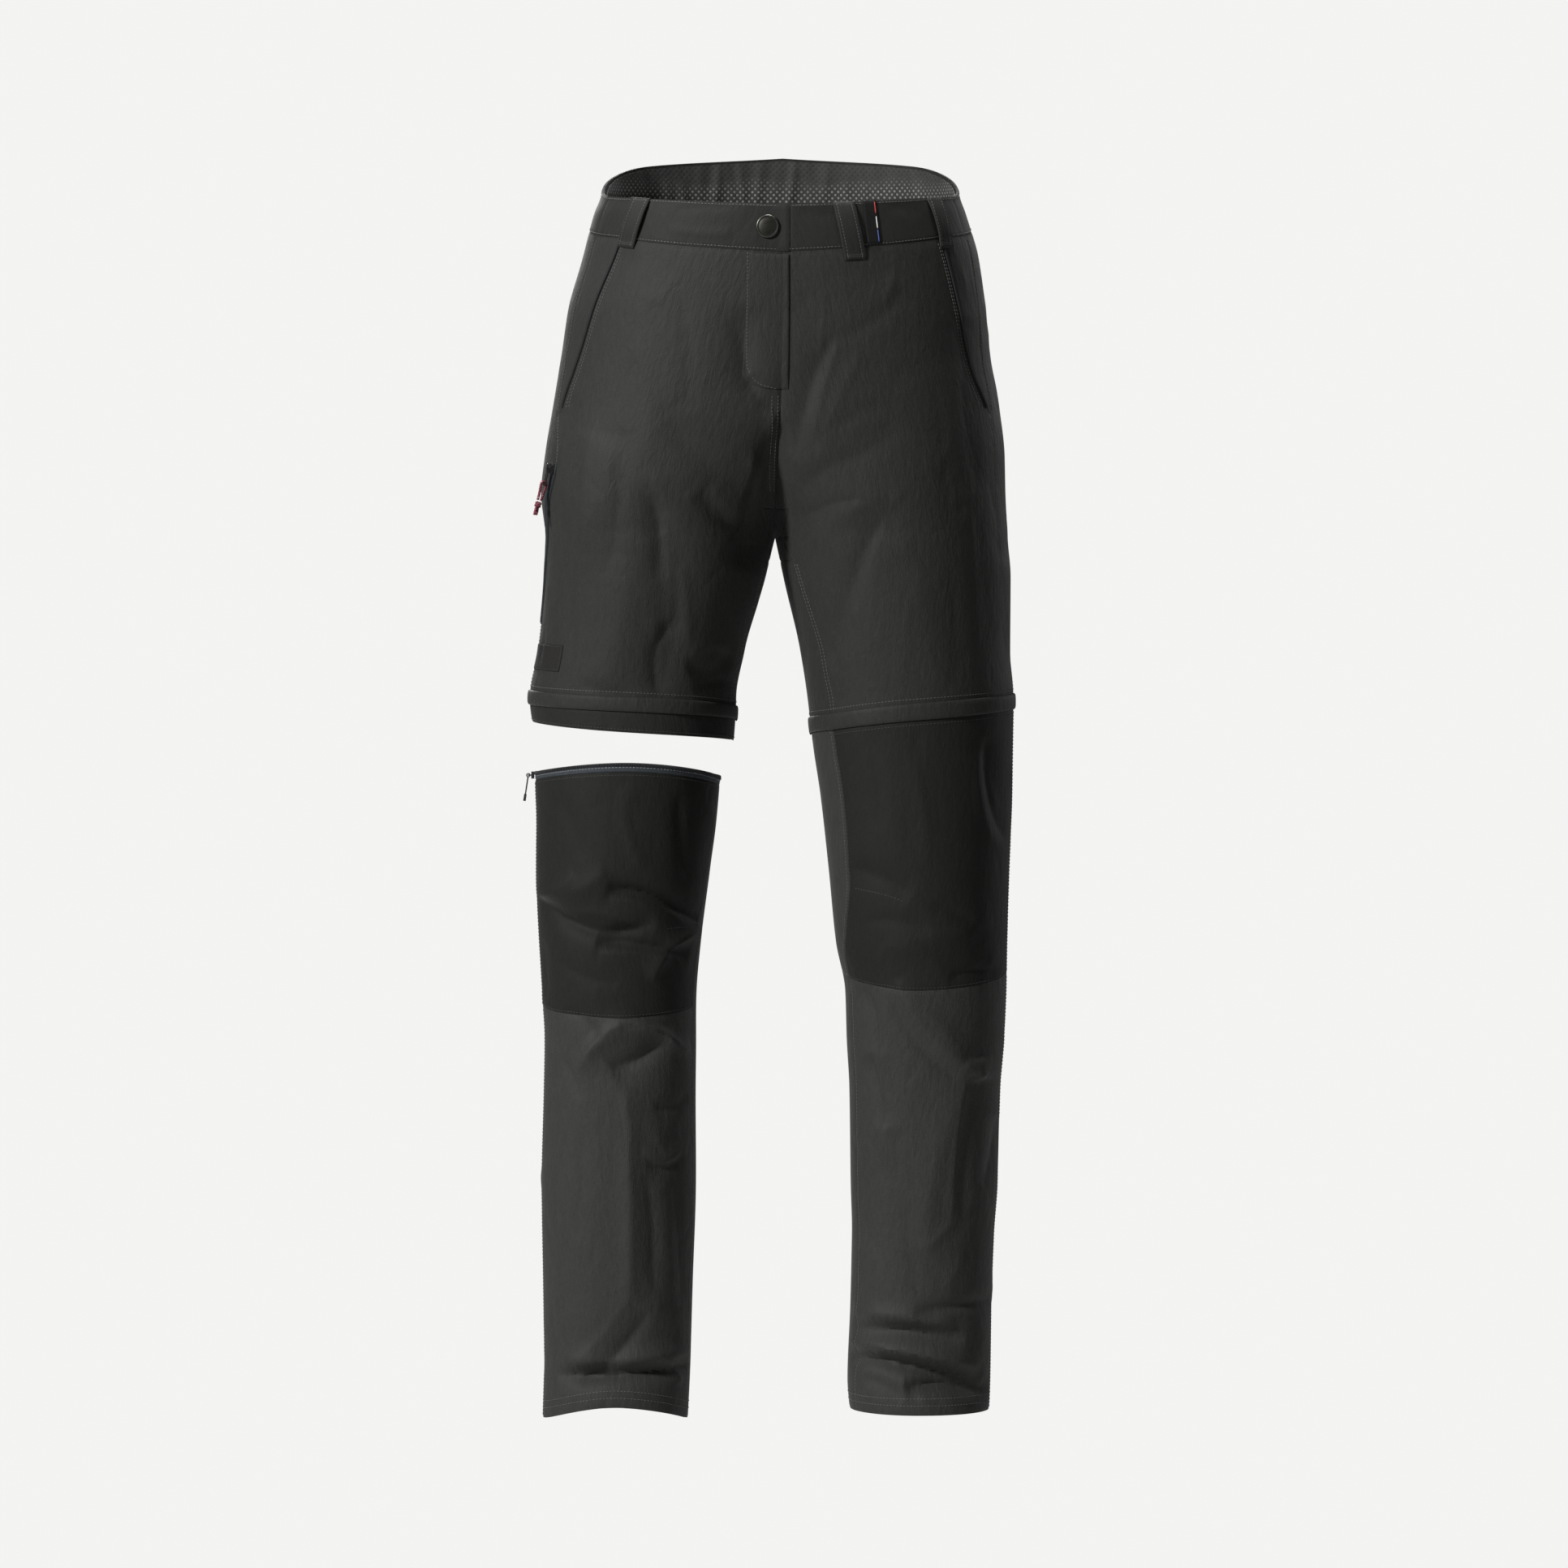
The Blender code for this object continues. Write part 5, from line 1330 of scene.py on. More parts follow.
def make_lower_legs():
    g = garment()
    side = FRONT_CELLS
    left, off = g.left, g.off
    row = left.row
    top, knee, hem = row["strip_foot"], row["knee_foot"], row["hem"]
    edge, inner_back = INSEAM_COLUMN[LEFT], LAST - 2
    shin, dark = g.finish["shin"], g.finish["knee"]
    cloth_panel("left_knee", [(left, top, knee, edge, side)], dark)
    inner = [(left, top, knee, 0, edge), (left, top, knee, inner_back, LAST)]
    cloth_panel("left_inner_knee", inner, shin)
    cloth_panel("left_shin", [(left, knee, hem, edge, side)], shin)
    back = [(left, top, knee, side, inner_back)]
    back += [(left, knee, hem, side, LAST), (left, knee, hem, 0, edge)]
    cloth_panel("left_lower_back", back, shin)
    row = off.row
    top, knee, hem = row["tape_foot"], row["knee_foot"], row["hem"]
    edge = INSEAM_COLUMN[RIGHT]
    tape = [(off, row["tape_top"], top, 0, LAST)]
    cloth_panel("right_leg_tape", tape, g.finish["leg_tape"])
    cloth_panel("right_knee", [(off, top, knee, edge, side)], dark)
    cloth_panel("right_shin", [(off, knee, hem, edge, side)], shin)
    back = [(off, top, hem, side, LAST), (off, top, hem, 0, edge)]
    cloth_panel("right_lower_back", back, shin)


def closure_lift(points):
    """The end of the band that closes on top stands off a little."""
    return 1.1 * np.clip((points[:, 0] + 9) / 15, 0, 1) ** 1.5 * (points[:, 1] < 0)


def make_waistband():
    g = garment()
    wall, side, band = settings()[0].band, FRONT_CELLS, g.finish["band"]
    whole = []
    for word, tube in g.sides():
        top, foot = tube.row["waist_top"], tube.row["waist_seam"]
        part = [(tube, top, foot, 0 if word == "right" else OVERLAP, side)]
        if word == "right":
            part.append((g.left, top, foot, 0, OVERLAP))
        cloth_panel(f"waistband_{word}_front", part, band, wall,
                    closure_lift if word == "right" else None)
        whole.append((tube, top, foot, side, LAST))
    cloth_panel("waistband_back", whole, band, wall)


def make_waist_mesh():
    """The gathered mesh inside the back of the band, with a soft pleat at each place in the table."""
    g = garment()
    pleats = read_table(GATHERS)
    rows = np.linspace(g.left.row["waist_top"] + 0.1, g.left.row["waist_seam"] + 0.3, 15)
    columns = np.arange(FRONT_CELLS, LAST + 0.01, 0.1)
    left = g.skin.at(g.left, rows[:, None], columns[None, :])
    right = g.skin.at(g.right, rows[:, None], columns[::-1][None, 1:])
    points = np.concatenate([left[0], right[0]], axis=1)
    normals = np.concatenate([left[1], right[1]], axis=1)
    down = np.linspace(0, 1, len(rows))[:, None]
    depth = np.zeros(points.shape[:2])
    for x, lean, width, deep in zip(pleats["x"], pleats["lean"], pleats["width"], pleats["depth"]):
        away = (points[:, :, 0] - x - lean * (down - 0.3)) / width
        depth += deep * np.exp(-np.abs(away) ** 1.4) * (0.55 + 0.45 * np.sin(math.pi * down))
    wave = np.array([[noise.noise(Vector((p[0] / 9, p[2] / 30, 3.0))) for p in line] for line in points])
    depth = np.clip(depth + 0.5 + 0.7 * wave, 0, MESH_DEEPEST)
    count = points.shape[1]
    ends = np.minimum(np.arange(count), count - 1 - np.arange(count)) / 14
    depth = depth * np.minimum(1, ends)[None, :]
    low = -(BAND_WALL + TRIM_GAP)
    made = slab("waist_mesh_lining", points - normals * depth[:, :, None], normals, low - MESH_WALL,
                low, g.finish["mesh"])
    flatten_uv(made)
    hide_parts("waist_mesh")
    width = np.linalg.norm(np.diff(points[7], axis=0), axis=1).sum() * 1.15


def flatten_uv(made):
    """Puts heights into the second coordinate of the flat cloth, for the mesh finish, whose painted
    light and shade in the holes vary with them.
    """
    layer = made.data.uv_layers[0].data
    coordinates = np.zeros(len(layer) * 2)
    layer.foreach_get("uv", coordinates)
    coordinates = coordinates.reshape(-1, 2)
    corners = np.zeros(len(made.data.loops), int)
    made.data.loops.foreach_get("vertex_index", corners)
    heights = np.array([v.co.z for v in made.data.vertices])
    coordinates[:, 1] = heights[corners]
    layer.foreach_set("uv", coordinates.ravel())


def make_fly():
    """The fly: its left side runs into the front panel and its right edge stands over the other half."""
    g = garment()
    seam, foot = g.right.row["waist_seam"], g.right.row["fly_foot"]
    columns = np.linspace(0.0, 1.9, 40)
    part = np.linspace(0, 1, 60)
    limit = foot - 0.08 - 0.9 * (1 - np.sqrt(1 - (columns / 2.02) ** 2))
    rows = seam + 0.1 + (limit[None, :] - seam - 0.1) * part[:, None]
    points, normals = g.skin.at(g.right, rows, columns[None, :] + 0 * rows)
    over = np.linspace(OVERLAP, 0.04, 6)
    beyond = g.skin.at(g.left, rows[:, :1] + 0 * over, over + 0 * rows[:, :1])
    points, normals = (np.concatenate(pair, axis=1) for pair in zip(beyond, (points, normals)))
    columns = np.concatenate([-over, columns])
    edge = np.clip((1.9 - columns) / 1.5, 0, 1)
    end = np.clip((1 - part) / 0.12, 0, 1)
    high = FLY_GAP + 0.05 + 1.1 * np.minimum(edge[None, :], end[:, None]) ** 0.7
    made = slab("fly_placket_cloth", points, normals, FLY_GAP - 0.6, high, g.finish["shell"],
                0.3)
    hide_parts("fly_placket")


def make_snap():
    """The snap's cap: a shallow dome inside a rolled rim."""
    g = garment()
    rows, columns = g.skin.find(g.right, [(-9.6, -32.5)])
    point, normal = g.skin.at(g.right, rows[0], columns[0])
    profile = [(0.02, 3.30), (3.0, 3.22), (5.6, 2.98), (7.2, 2.66), (7.9, 2.50), (8.3, 2.62),
               (9.0, 2.70), (9.6, 2.40), (9.95, 1.80), (9.9, 1.20), (9.5, 0.65), (0.02, 0.60)]
    across = np.cross([0, 0, 1.0], normal)
    across /= np.linalg.norm(across)
    above = np.cross(normal, across)
    sides = 72
    turns = 2 * math.pi * np.arange(sides) / sides
    rings = []
    for radius, height in profile:
        ring = np.outer(np.cos(turns), across) + np.outer(np.sin(turns), above)
        rings.append(point + normal * height + radius * ring)
    faces = []
    for k in range(len(profile) - 1):
        for j in range(sides):
            n = (j + 1) % sides
            faces.append((k * sides + j, (k + 1) * sides + j, (k + 1) * sides + n, k * sides + n))
    made = piece("snap_cap_metal", np.concatenate(rings), faces, g.finish["gunmetal"])
    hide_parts("snap_cap")


def make_loops():
    """Belt loops bowed off the band, each sewn down at both ends, and the narrow tab beside one."""
    g = garment()
    starts, ends, outs = [], [], []
    for name, side, top, foot, back in LOOPS:
        tube = g.left if side == LEFT else g.right
        points, normals = strap_spots(g.skin, tube, top, foot, LOOP_WIDTH, 40, 19, back)
        part = np.linspace(0, 1, 40)[:, None]
        bow = TRIM_GAP + LOOP_BOW * np.sin(math.pi * part) + 0 * points[:, :, 0]
        seam = 0.35 * np.exp(-((np.abs(np.linspace(-1, 1, 19)) - 0.72) / 0.1) ** 2)[None, :]
        made = slab(name + "_strap", points, normals, bow, bow + LOOP_WALL - seam, g.finish["band"],
                    0.6)
        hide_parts(name)
        lifted = points + normals * (bow + LOOP_WALL - 0.25)[..., None]
        for k in (3, 15):
            found = along_line(lifted[1:-1, k], normals[1:-1, k], 2.6, 0.7)
            for group, value in zip((starts, ends, outs), found):
                group.append(value)
        for k in (2, 3, 36, 37):
            found = along_line(lifted[k, 2:-2], normals[k, 2:-2], 1.5, 0.75)
            for group, value in zip((starts, ends, outs), found):
                group.append(value)
    capsules("loop_stitches", np.concatenate(starts), np.concatenate(ends), np.concatenate(outs), 0.55,
             0.7, g.finish["shell_thread"], "band_nylon")
    points, normals = strap_spots(g.skin, g.left, TAB_TOP, TAB_FOOT, TAB_WIDTH, 30, 13)
    made = slab("loop_tab_woven", points, normals, TRIM_GAP, TRIM_GAP + 1.0, g.finish["tab"],
                0.5)
    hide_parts("loop_tab")
    for first, colour in ((1, "red"), (11, "white"), (20, "blue")):
        line = points[first:first + 9, 10] + normals[first:first + 9, 10] * (TRIM_GAP + 0.95)
        round_tube(f"tab_line_{colour}", line, 0.5, g.finish[colour], 6)


def make_pocket_edges():
    g = garment()
    for word, tube in g.sides():
        rows = np.linspace(tube.row["waist_seam"] + 0.12, tube.row["fly_foot"] - 0.1, 60)
        columns = POCKET_COLUMN - np.linspace(0.22, 0.02, 9)
        points, normals = g.skin.at(tube, rows[:, None], columns[None, :])
        made = slab(f"{word}_pocket_binding", points, normals, 0.1, TRIM_GAP + 1.0, g.finish["binding"],
                    0.6)
        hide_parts(f"{word}_pocket_edge")


def make_zip_strips():
    """The raised bands over the leg zips: a folded strip with a soft top and a sharper lower edge."""
    g = garment()
    profile = [(0.00, 0.15), (0.02, 1.10), (0.10, 1.75), (0.30, 2.05), (0.60, 2.10), (0.85, 2.05),
               (0.97, 1.75), (1.02, 1.10), (1.00, 0.25), (0.5, 0.10)]
    for word, tube in g.sides():
        top = tube.row["strip_top"]
        columns = np.arange(LAST * tube.fine) / tube.fine
        rings = []
        for part, lift in profile:
            points, normals = g.skin.at(tube, top + 0.03 + part * 1.0, columns)
            rings.append(points + normals * lift)
        count = len(columns)
        n = np.arange(len(profile) * count).reshape(len(profile), count)
        along = np.roll(n, -1, axis=1)
        below, below_along = np.roll(n, -1, axis=0), np.roll(along, -1, axis=0)
        faces = np.stack([n, below, below_along, along], -1).reshape(-1, 4)
        if tube.side == RIGHT:
            faces = faces[:, ::-1]
        faces = faces[:, ::-1]
        around = run_length(rings[0])
        places = np.stack([np.tile(around, len(profile)),
                           np.repeat([-14.0 * part for part, _ in profile], count)], -1)
        made = piece(f"{word}_strip_cloth", np.concatenate(rings), faces, g.finish["shell"],
                     places[faces.ravel()])
        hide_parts(f"{word}_zip_strip")


def make_label():
    g = garment()
    rows, _ = g.skin.find(g.right, [(-190, LABEL_TOP), (-190, LABEL_FOOT)])
    points, normals = g.skin.at(g.right, np.linspace(*rows, 20)[:, None],
                                np.linspace(*LABEL_COLUMNS, 40)[None, :])
    made = slab("thigh_label_patch", points, normals, 0.2, TRIM_GAP + 0.6, g.finish["label"],
                0.55)
    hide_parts("thigh_label")
    around, out = (np.concatenate([a[1, 1:-1], a[1:-1, -2], a[-2, -2:0:-1], a[-2:0:-1, 1]])
                   for a in (points, normals))
    found = along_line(around + out * (TRIM_GAP + 0.5), out, 1.9, 0.7)
    capsules("label_stitches", *found, 0.4, 0.5, g.finish["knee_thread"], "label_patch")


def make_thigh_zip():
    """The thigh pocket's zip: two tapes with a coil between them."""
    g = garment()
    right = g.right
    seam = g.skin.at(right, np.arange(0, right.rows, 0.02), float(FRONT_CELLS))[0][:, 2]
    ends = [np.argmin(np.abs(seam - z)) * 0.02 for z in (ZIP_TOP, ZIP_FOOT)]
    rows = np.linspace(*ends, 90)
    points, normals = g.skin.at(right, rows[:, None], FRONT_CELLS + np.linspace(-0.22, 0.22, 9)[None, :])
    dip = 0.5 * np.exp(-(np.linspace(-1, 1, 9) / 0.3) ** 2)
    made = slab("thigh_zip_tape", points, normals, 0.1, TRIM_GAP + 1.0 - dip[None, :], g.finish["tape"],
                0.6)
    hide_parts("thigh_zip")
    line = points[2:-2, 4] + normals[2:-2, 4] * (TRIM_GAP + 0.75)
    starts, finishes_at, out = along_line(line, normals[2:-2, 4], 1.0, 0.1)
    across = np.cross(out, (line[-1] - line[0]) / np.linalg.norm(line[-1] - line[0]))
    middle = (starts + finishes_at) / 2
    capsules("thigh_zip_coil", middle - across * 1.1, middle + across * 1.1, out, 0.75, 0.8,
             g.finish["teeth"], "zip_tape")


def pull_frame(node_name, joint_name):
    """Where a pull hangs at rest: local Y runs down it and local X is its hinge."""
    joint = next(j for j in frame["record"]["behaviour"]["joints"] if j["name"] == joint_name)
    pivot = np.array(joint["pos_m"])
    across = np.array(joint["axis"]) / np.linalg.norm(joint["axis"])
    spots = np.array([v.co for v in bpy.data.objects[node_name].data.vertices])
    far = spots[np.argsort(-np.linalg.norm(spots - pivot, axis=1))[:6]].mean(axis=0) - pivot
    down = far - (far @ across) * across
    down /= np.linalg.norm(down)
    matrix = Matrix.Identity(4)
    for k, axis in enumerate((across, down, np.cross(across, down))):
        for row in range(3):
            matrix[row][k] = axis[row]
    matrix.translation = Vector(pivot)
    return matrix


def smooth_line(spots, count):
    """A smooth line through spots, as evenly spaced points."""
    spots = np.array(spots, float)
    length = run_length(spots)
    curves = [smooth_curve(length, spots[:, k]) for k in range(3)]
    return np.array([[float(c(s)) for c in curves] for s in np.linspace(0, length[-1], count)])


def make_thigh_pull():
    """The flecked cord through the zip's tab, its knot and its two tails."""
    g = garment()
    place = pull_frame("thigh_zip_pull", "thigh_pull_hinge")

    def spot(x, y, z):
        return np.array(place @ Vector((x * MM, y * MM, z * MM))) / MM

    def strand(away):
        spots = [(0.3, 12.8, 0.35), (0.2, 13.0, 1.6), (0, 15.5, 2.3), (-0.5, 19, 2.1), (-0.9, 24, 1.7),
                 (-1.2, THIGH_KNOT_DROP - 3.8, 1.5)]
        return [spot(x, y, z * away) for x, y, z in spots]

    radius = settings()[0].pull_cord / MM / 2

    def braid(name, line, size, stands_for):
        made = round_tube(name, line, size, g.finish["cord"], 12, 1.9, 0.10, "thigh_pull")
        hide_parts(stands_for)
        return made

    loop = smooth_line(strand(1)[::-1] + strand(-1), 110)
    cord = braid("thigh_pull_loop", loop, radius, "thigh_pull_cord")
    turns = np.linspace(0, 2 * math.pi, 90)
    wraps = []
    for turn in turns:
        x = 0.95 * (math.sin(turn) + 1.2 * math.sin(2 * turn))
        y = 0.80 * (math.cos(turn) - 1.2 * math.cos(2 * turn))
        wraps.append(spot(-1.2 + x, THIGH_KNOT_DROP + y, -1.5 * math.sin(3 * turn)))
    knot = braid("thigh_pull_overhand", np.array(wraps), radius * 1.06, "thigh_pull_knot")
    for k, (foot, depth) in enumerate(((-3.0, 1.2), (0.8, -1.0))):
        line = [spot(foot * across - 1.2, THIGH_KNOT_DROP + drop, depth * out)
                for across, drop, out in ((0.2, 2.0, 0.6), (0.4, 3.7, 1.0), (0.8, 5.9, 1.3),
                                          (1.3, 9.0, 1.6))]
        braid(f"thigh_pull_end_{k + 1}", smooth_line(line, 24), radius, f"thigh_pull_tail_{k + 1}")
    MADE["thigh_cord"] = (cord, loop, knot)


def make_leg_tape():
    """The coil on the top edge of the lower leg that is off."""
    g = garment()
    off = g.off
    columns = np.linspace(0, LAST, 1500)
    points, normals = g.skin.at(off, off.row["tape_top"] + 0.04, columns)
    starts, ends, out = along_line(points, normals, 1.35, 0.3)
    middle = (starts + ends) / 2
    down = np.array([0, 0, -1.0])
    line = middle + out * 0.55
    capsules("leg_zip_coil", line + down * -0.2, line + down * 2.6, out, 0.95, 1.1,
             g.finish["teeth"], "zip_tape")


def dress_metal():
    """Finishes and softened edges for the sliders and pulls, whose CAD shapes stay."""
    g = garment()
    for name in ("thigh_zip_slider", "thigh_zip_pull", "right_leg_slider", "right_leg_pull"):
        made = bpy.data.objects[name]
        made.data.materials.clear()
        made.data.materials.append(g.finish["black_metal"])
        soft = made.modifiers.new("softened edges", "BEVEL")
        soft.width = METAL_EDGE
        soft.segments = 2
        soft.limit_method = "ANGLE"


def make_stitches():
    """Every line of stitching on the panels, each from its row in the tables above."""
    g = garment()
    sizes = settings()[0]
    tubes = {"left": g.left, "right": g.right, "off": g.off}
    found = {}

    def sew(colour, tube, rows, columns, down=0.0, along=0.0):
        rows, columns = g.skin.moved(tube, rows, columns, down, along)
        points, normals = g.skin.at(tube, rows, columns)
        marks = along_line(points + normals * STITCH_LIFT, normals, sizes.stitch / MM, STITCH_SHARE)
        found.setdefault(colour, []).append(marks)

    for which, row, first, last, down, colour in read_rows(ROUND_STITCHES):
        tube = tubes[which]
        columns = np.linspace(float(first), float(last), ROUND_SPOTS)
        sew(colour, tube, np.full(ROUND_SPOTS, float(tube.row[row])), columns, float(down))
    for which, column, first, last, along, colour in read_rows(DOWN_STITCHES):
        tube = tubes[which]
        rows = np.linspace(tube.row[first] + 0.12, tube.row[last] - 0.08, DOWN_SPOTS)
        sew(colour, tube, rows, np.full(DOWN_SPOTS, float(column)), 0.0, float(along))
    for which, colour, spots in DRAWN_STITCHES:
        places = np.array(spots, float)
        length = np.concatenate([[0], np.cumsum(np.hypot(*np.diff(places, axis=0).T))])
        s = np.linspace(0, length[-1], max(6, int(length[-1] / 6)))
        curves = [smooth_curve(length, places[:, k]) for k in (0, 1)]
        way = [(float(curves[0](t)), float(curves[1](t))) for t in s]
        rows, columns = g.skin.find(tubes[which], way)
        lift = 1.0 if colour == "fly_thread" else 0.0
        points, normals = g.skin.at(tubes[which], rows, columns)
        lifted = points + normals * (STITCH_LIFT + lift)
        marks = along_line(lifted, normals, sizes.stitch / MM, STITCH_SHARE)
        found.setdefault("shell_thread" if lift else colour, []).append(marks)
    for colour, marks in found.items():
        starts, ends, out = (np.concatenate([m[k] for m in marks]) for k in range(3))
        capsules(f"seams_{colour}", starts, ends, out, sizes.thread / MM, sizes.thread / MM,
                 g.finish[colour], "shell_nylon")


def read_rows(text):
    return [line.split() for line in text.strip().splitlines()[1:]]


def measure(name, description, default, low, high, **kind):
    return FloatProperty(name=name, description=description, default=default, min=low, max=high, **kind)


class TrousersSizes(bpy.types.PropertyGroup):
    """Sizes of the cloth and its stitching"""

    cells: IntProperty(name="Cells", description="Finer cells in each cell of the CAD skin",
                       default=8, min=2, max=10)
    cloth: measure("Cloth", "Thickness of the nylon with its seams",
                   0.0010, 0.0004, 0.002, unit="LENGTH")
    band: measure("Waistband", "Thickness of the faced waistband",
                  0.0022, 0.001, 0.003, unit="LENGTH")
    seam_gap: measure("Seam gap", "Open line between two panels",
                      0.00030, 0.0001, 0.001, unit="LENGTH")
    stitch: measure("Stitch", "Distance from one stitch to the next",
                    0.0030, 0.0015, 0.006, unit="LENGTH")
    thread: measure("Thread", "Width of the sewing thread", 0.00060, 0.0002, 0.001, unit="LENGTH")
    pull_cord: measure("Pull cord", "Diameter of the zip's pull cord",
                       0.0022, 0.001, 0.003, unit="LENGTH")
    large_folds: measure("Large folds", "Strength of the folds that the CAD has", 1.0, 0.0, 1.5)
    fine_folds: measure("Fine folds", "Strength of the finer folds", 1.0, 0.0, 2.0)
    crumple: measure("Crumple", "Strength of the small wrinkles all over", 1.0, 0.0, 2.0)


def colour_property(name, description, value):
    return FloatVectorProperty(name=name, description=description, default=value, min=0.0, max=1.0,
                               size=3, subtype="COLOR")


class TrousersColours(bpy.types.PropertyGroup):
    """Colours of the cloths, threads and metal"""

    shell: colour_property("Shell", "Charcoal nylon of the shorts part", (0.0186, 0.0187, 0.0173))
    knee: colour_property("Knee", "Darker nylon of the knee panels", (0.0093, 0.0094, 0.0084))
    shin: colour_property("Shin", "Nylon of the lower legs", (0.0256, 0.0256, 0.0240))
    band: colour_property("Waistband", "Nylon of the waistband and its loops", (0.0131, 0.0133, 0.0122))
    mesh: colour_property("Mesh", "Knitted mesh inside the waistband", (0.0155, 0.0151, 0.0136))
    binding: colour_property("Binding", "Tape that binds the pocket mouths", (0.0120, 0.0120, 0.0120))
    tape: colour_property("Zip tape", "Woven tape of the zips", (0.0130, 0.0150, 0.0172))
    label: colour_property("Patch", "Plain patch on the thigh and the tab", (0.0120, 0.0115, 0.0110))
    cord: colour_property("Pull cord", "Burgundy cord of the thigh zip", (0.1100, 0.0060, 0.0180))
    metal: colour_property("Metal", "Gunmetal plating of the snap", (0.0650, 0.0640, 0.0570))
    shell_thread: colour_property("Thread", "Thread in the shell", (0.0780, 0.0780, 0.0730))
    knee_thread: colour_property("Knee thread", "Thread in the knee panels", (0.0280, 0.0280, 0.0265))
    pale_thread: colour_property("Tape thread", "Pale thread on the zip tape", (0.1700, 0.1780, 0.1850))


class TrousersStudio(bpy.types.PropertyGroup):
    """Camera, floor and lights"""

    distance: measure("Camera distance", "From the camera to the aim",
                      8.0, 2.0, 20.0, unit="LENGTH")
    elevation: measure("Camera elevation", "How steeply the camera looks down",
                       math.radians(2), -0.5, 1.5, subtype="ANGLE")
    view: measure("View height", "Height of the picture at the aim",
                  1.3524, 0.1, 5.0, unit="LENGTH")
    key: measure("Key light", "Power of the light at the upper left",
                 480.0, 0.0, 3000.0, unit="POWER")
    fill: measure("Fill light", "Power of the light at the right", 4.0, 0.0, 500.0, unit="POWER")
    top: measure("Top light", "Power of the light over the waist", 30.0, 0.0, 500.0, unit="POWER")
    side: measure("Side light", "Power of the light at the right and behind",
                  55.0, 0.0, 1000.0, unit="POWER")
    back: measure("Back light", "Power of the light behind the garment",
                  320.0, 0.0, 1000.0, unit="POWER")
    world: measure("Surroundings", "Light that comes from all round", 0.085, 0.0, 2.0)
    backdrop: measure("Backdrop", "How pale the surroundings look", 0.90, 0.0, 2.0)
    floor: measure("Floor", "How pale the floor is", 0.60, 0.0, 1.0)


AIM = Vector((0.0042, 0.0, -0.510))
FLOOR_Z, FLOOR_RADIUS = -1.75, 4.2
# Lights: name, place and size, in metres
LIGHTS = (
    ("key", (-3.7, -3.4, 2.45), 0.95),
    ("fill", (2.4, -4.2, 0.2), 2.4),
    ("top", (0.03, -0.03, 1.25), 0.5),
    ("side", (5.5, 4.5, 1.0), 2.0),
    ("back", (-1.5, 6.5, 2.0), 2.0),
)


def make_stage():
    studio = settings()[2]
    scene = bpy.context.scene
    camera = bpy.data.objects.new("photo_camera", bpy.data.cameras.new("photo_camera"))
    scene.collection.objects.link(camera)
    away = Vector((0, -math.cos(studio.elevation), math.sin(studio.elevation))) * studio.distance
    camera.location = AIM + away
    camera.rotation_euler = (-away).to_track_quat("-Z", "Y").to_euler()
    camera.data.sensor_width = 36.0
    camera.data.lens = 36.0 * studio.distance / studio.view
    camera.data.clip_end = 60.0
    camera.data.dof.use_dof = False
    scene.camera = camera

    for name, place, size in LIGHTS:
        light = bpy.data.lights.new(name + "_light", "AREA")
        light.shape = "DISK"
        light.size = size
        light.energy = getattr(studio, name)
        made = bpy.data.objects.new(name + "_light", light)
        scene.collection.objects.link(made)
        made.location = place
        made.rotation_euler = (AIM - Vector(place)).to_track_quat("-Z", "Y").to_euler()

    world = bpy.data.worlds.new("studio")
    scene.world = world
    world.use_nodes = True
    tree = world.node_tree
    room = tree.nodes["Background"]
    room.inputs["Color"].default_value = (1.0, 1.0, 0.985, 1)
    ray = tree.nodes.new("ShaderNodeLightPath")
    strength = tree.nodes.new("ShaderNodeMapRange")  # seen pale, but it lights the garment only a little
    strength.inputs["To Min"].default_value = studio.world
    strength.inputs["To Max"].default_value = studio.backdrop
    tree.links.new(ray.outputs["Is Camera Ray"], strength.inputs["Value"])
    tree.links.new(strength.outputs["Result"], room.inputs["Strength"])

    turns = [k * math.pi / 48 for k in range(96)]
    rim = [(FLOOR_RADIUS * math.cos(a), FLOOR_RADIUS * math.sin(a), FLOOR_Z) for a in turns]
    mesh = bpy.data.meshes.new("studio_floor")
    mesh.from_pydata(rim, [], [tuple(range(len(rim)))])
    finish = bpy.data.materials.new("studio_floor")
    finish.use_nodes = True
    shader = finish.node_tree.nodes["Principled BSDF"]
    shader.inputs["Base Color"].default_value = (studio.floor, studio.floor, studio.floor, 1)
    shader.inputs["Roughness"].default_value = 0.9
    shader.inputs["Specular IOR Level"].default_value = 0.1
    mesh.materials.append(finish)
    made = bpy.data.objects.new("studio_floor", mesh)
    scene.collection.objects.link(made)
    scene.view_settings.view_transform = "Standard"
    scene.view_settings.look = "None"


class TROUSERS_OT_studio(bpy.types.Operator):
    """Camera at the photograph's angle, pale floor and soft lights"""

    bl_idname = "trousers.studio"
    bl_label = "Studio"

    def execute(self, context):
        make_stage()
        return {"FINISHED"}


class TROUSERS_OT_thigh_pull(bpy.types.Operator):
    """Flecked pull cord of the thigh zip, with its knot"""

    bl_idname = "trousers.thigh_pull"
    bl_label = "Thigh pull cord"

    def execute(self, context):
        make_thigh_pull()
        return {"FINISHED"}


class TROUSERS_OT_shorts_panels(bpy.types.Operator):
    """Fronts, backs, gusset, pocket bearers and zip facing of the shorts part"""

    bl_idname = "trousers.shorts_panels"
    bl_label = "Shorts panels"

    def execute(self, context):
        make_shorts_panels()
        return {"FINISHED"}


class TROUSERS_OT_lower_legs(bpy.types.Operator):
    """Knees, shins and backs of both lower legs"""

    bl_idname = "trousers.lower_legs"
    bl_label = "Lower legs"

    def execute(self, context):
        make_lower_legs()
        return {"FINISHED"}


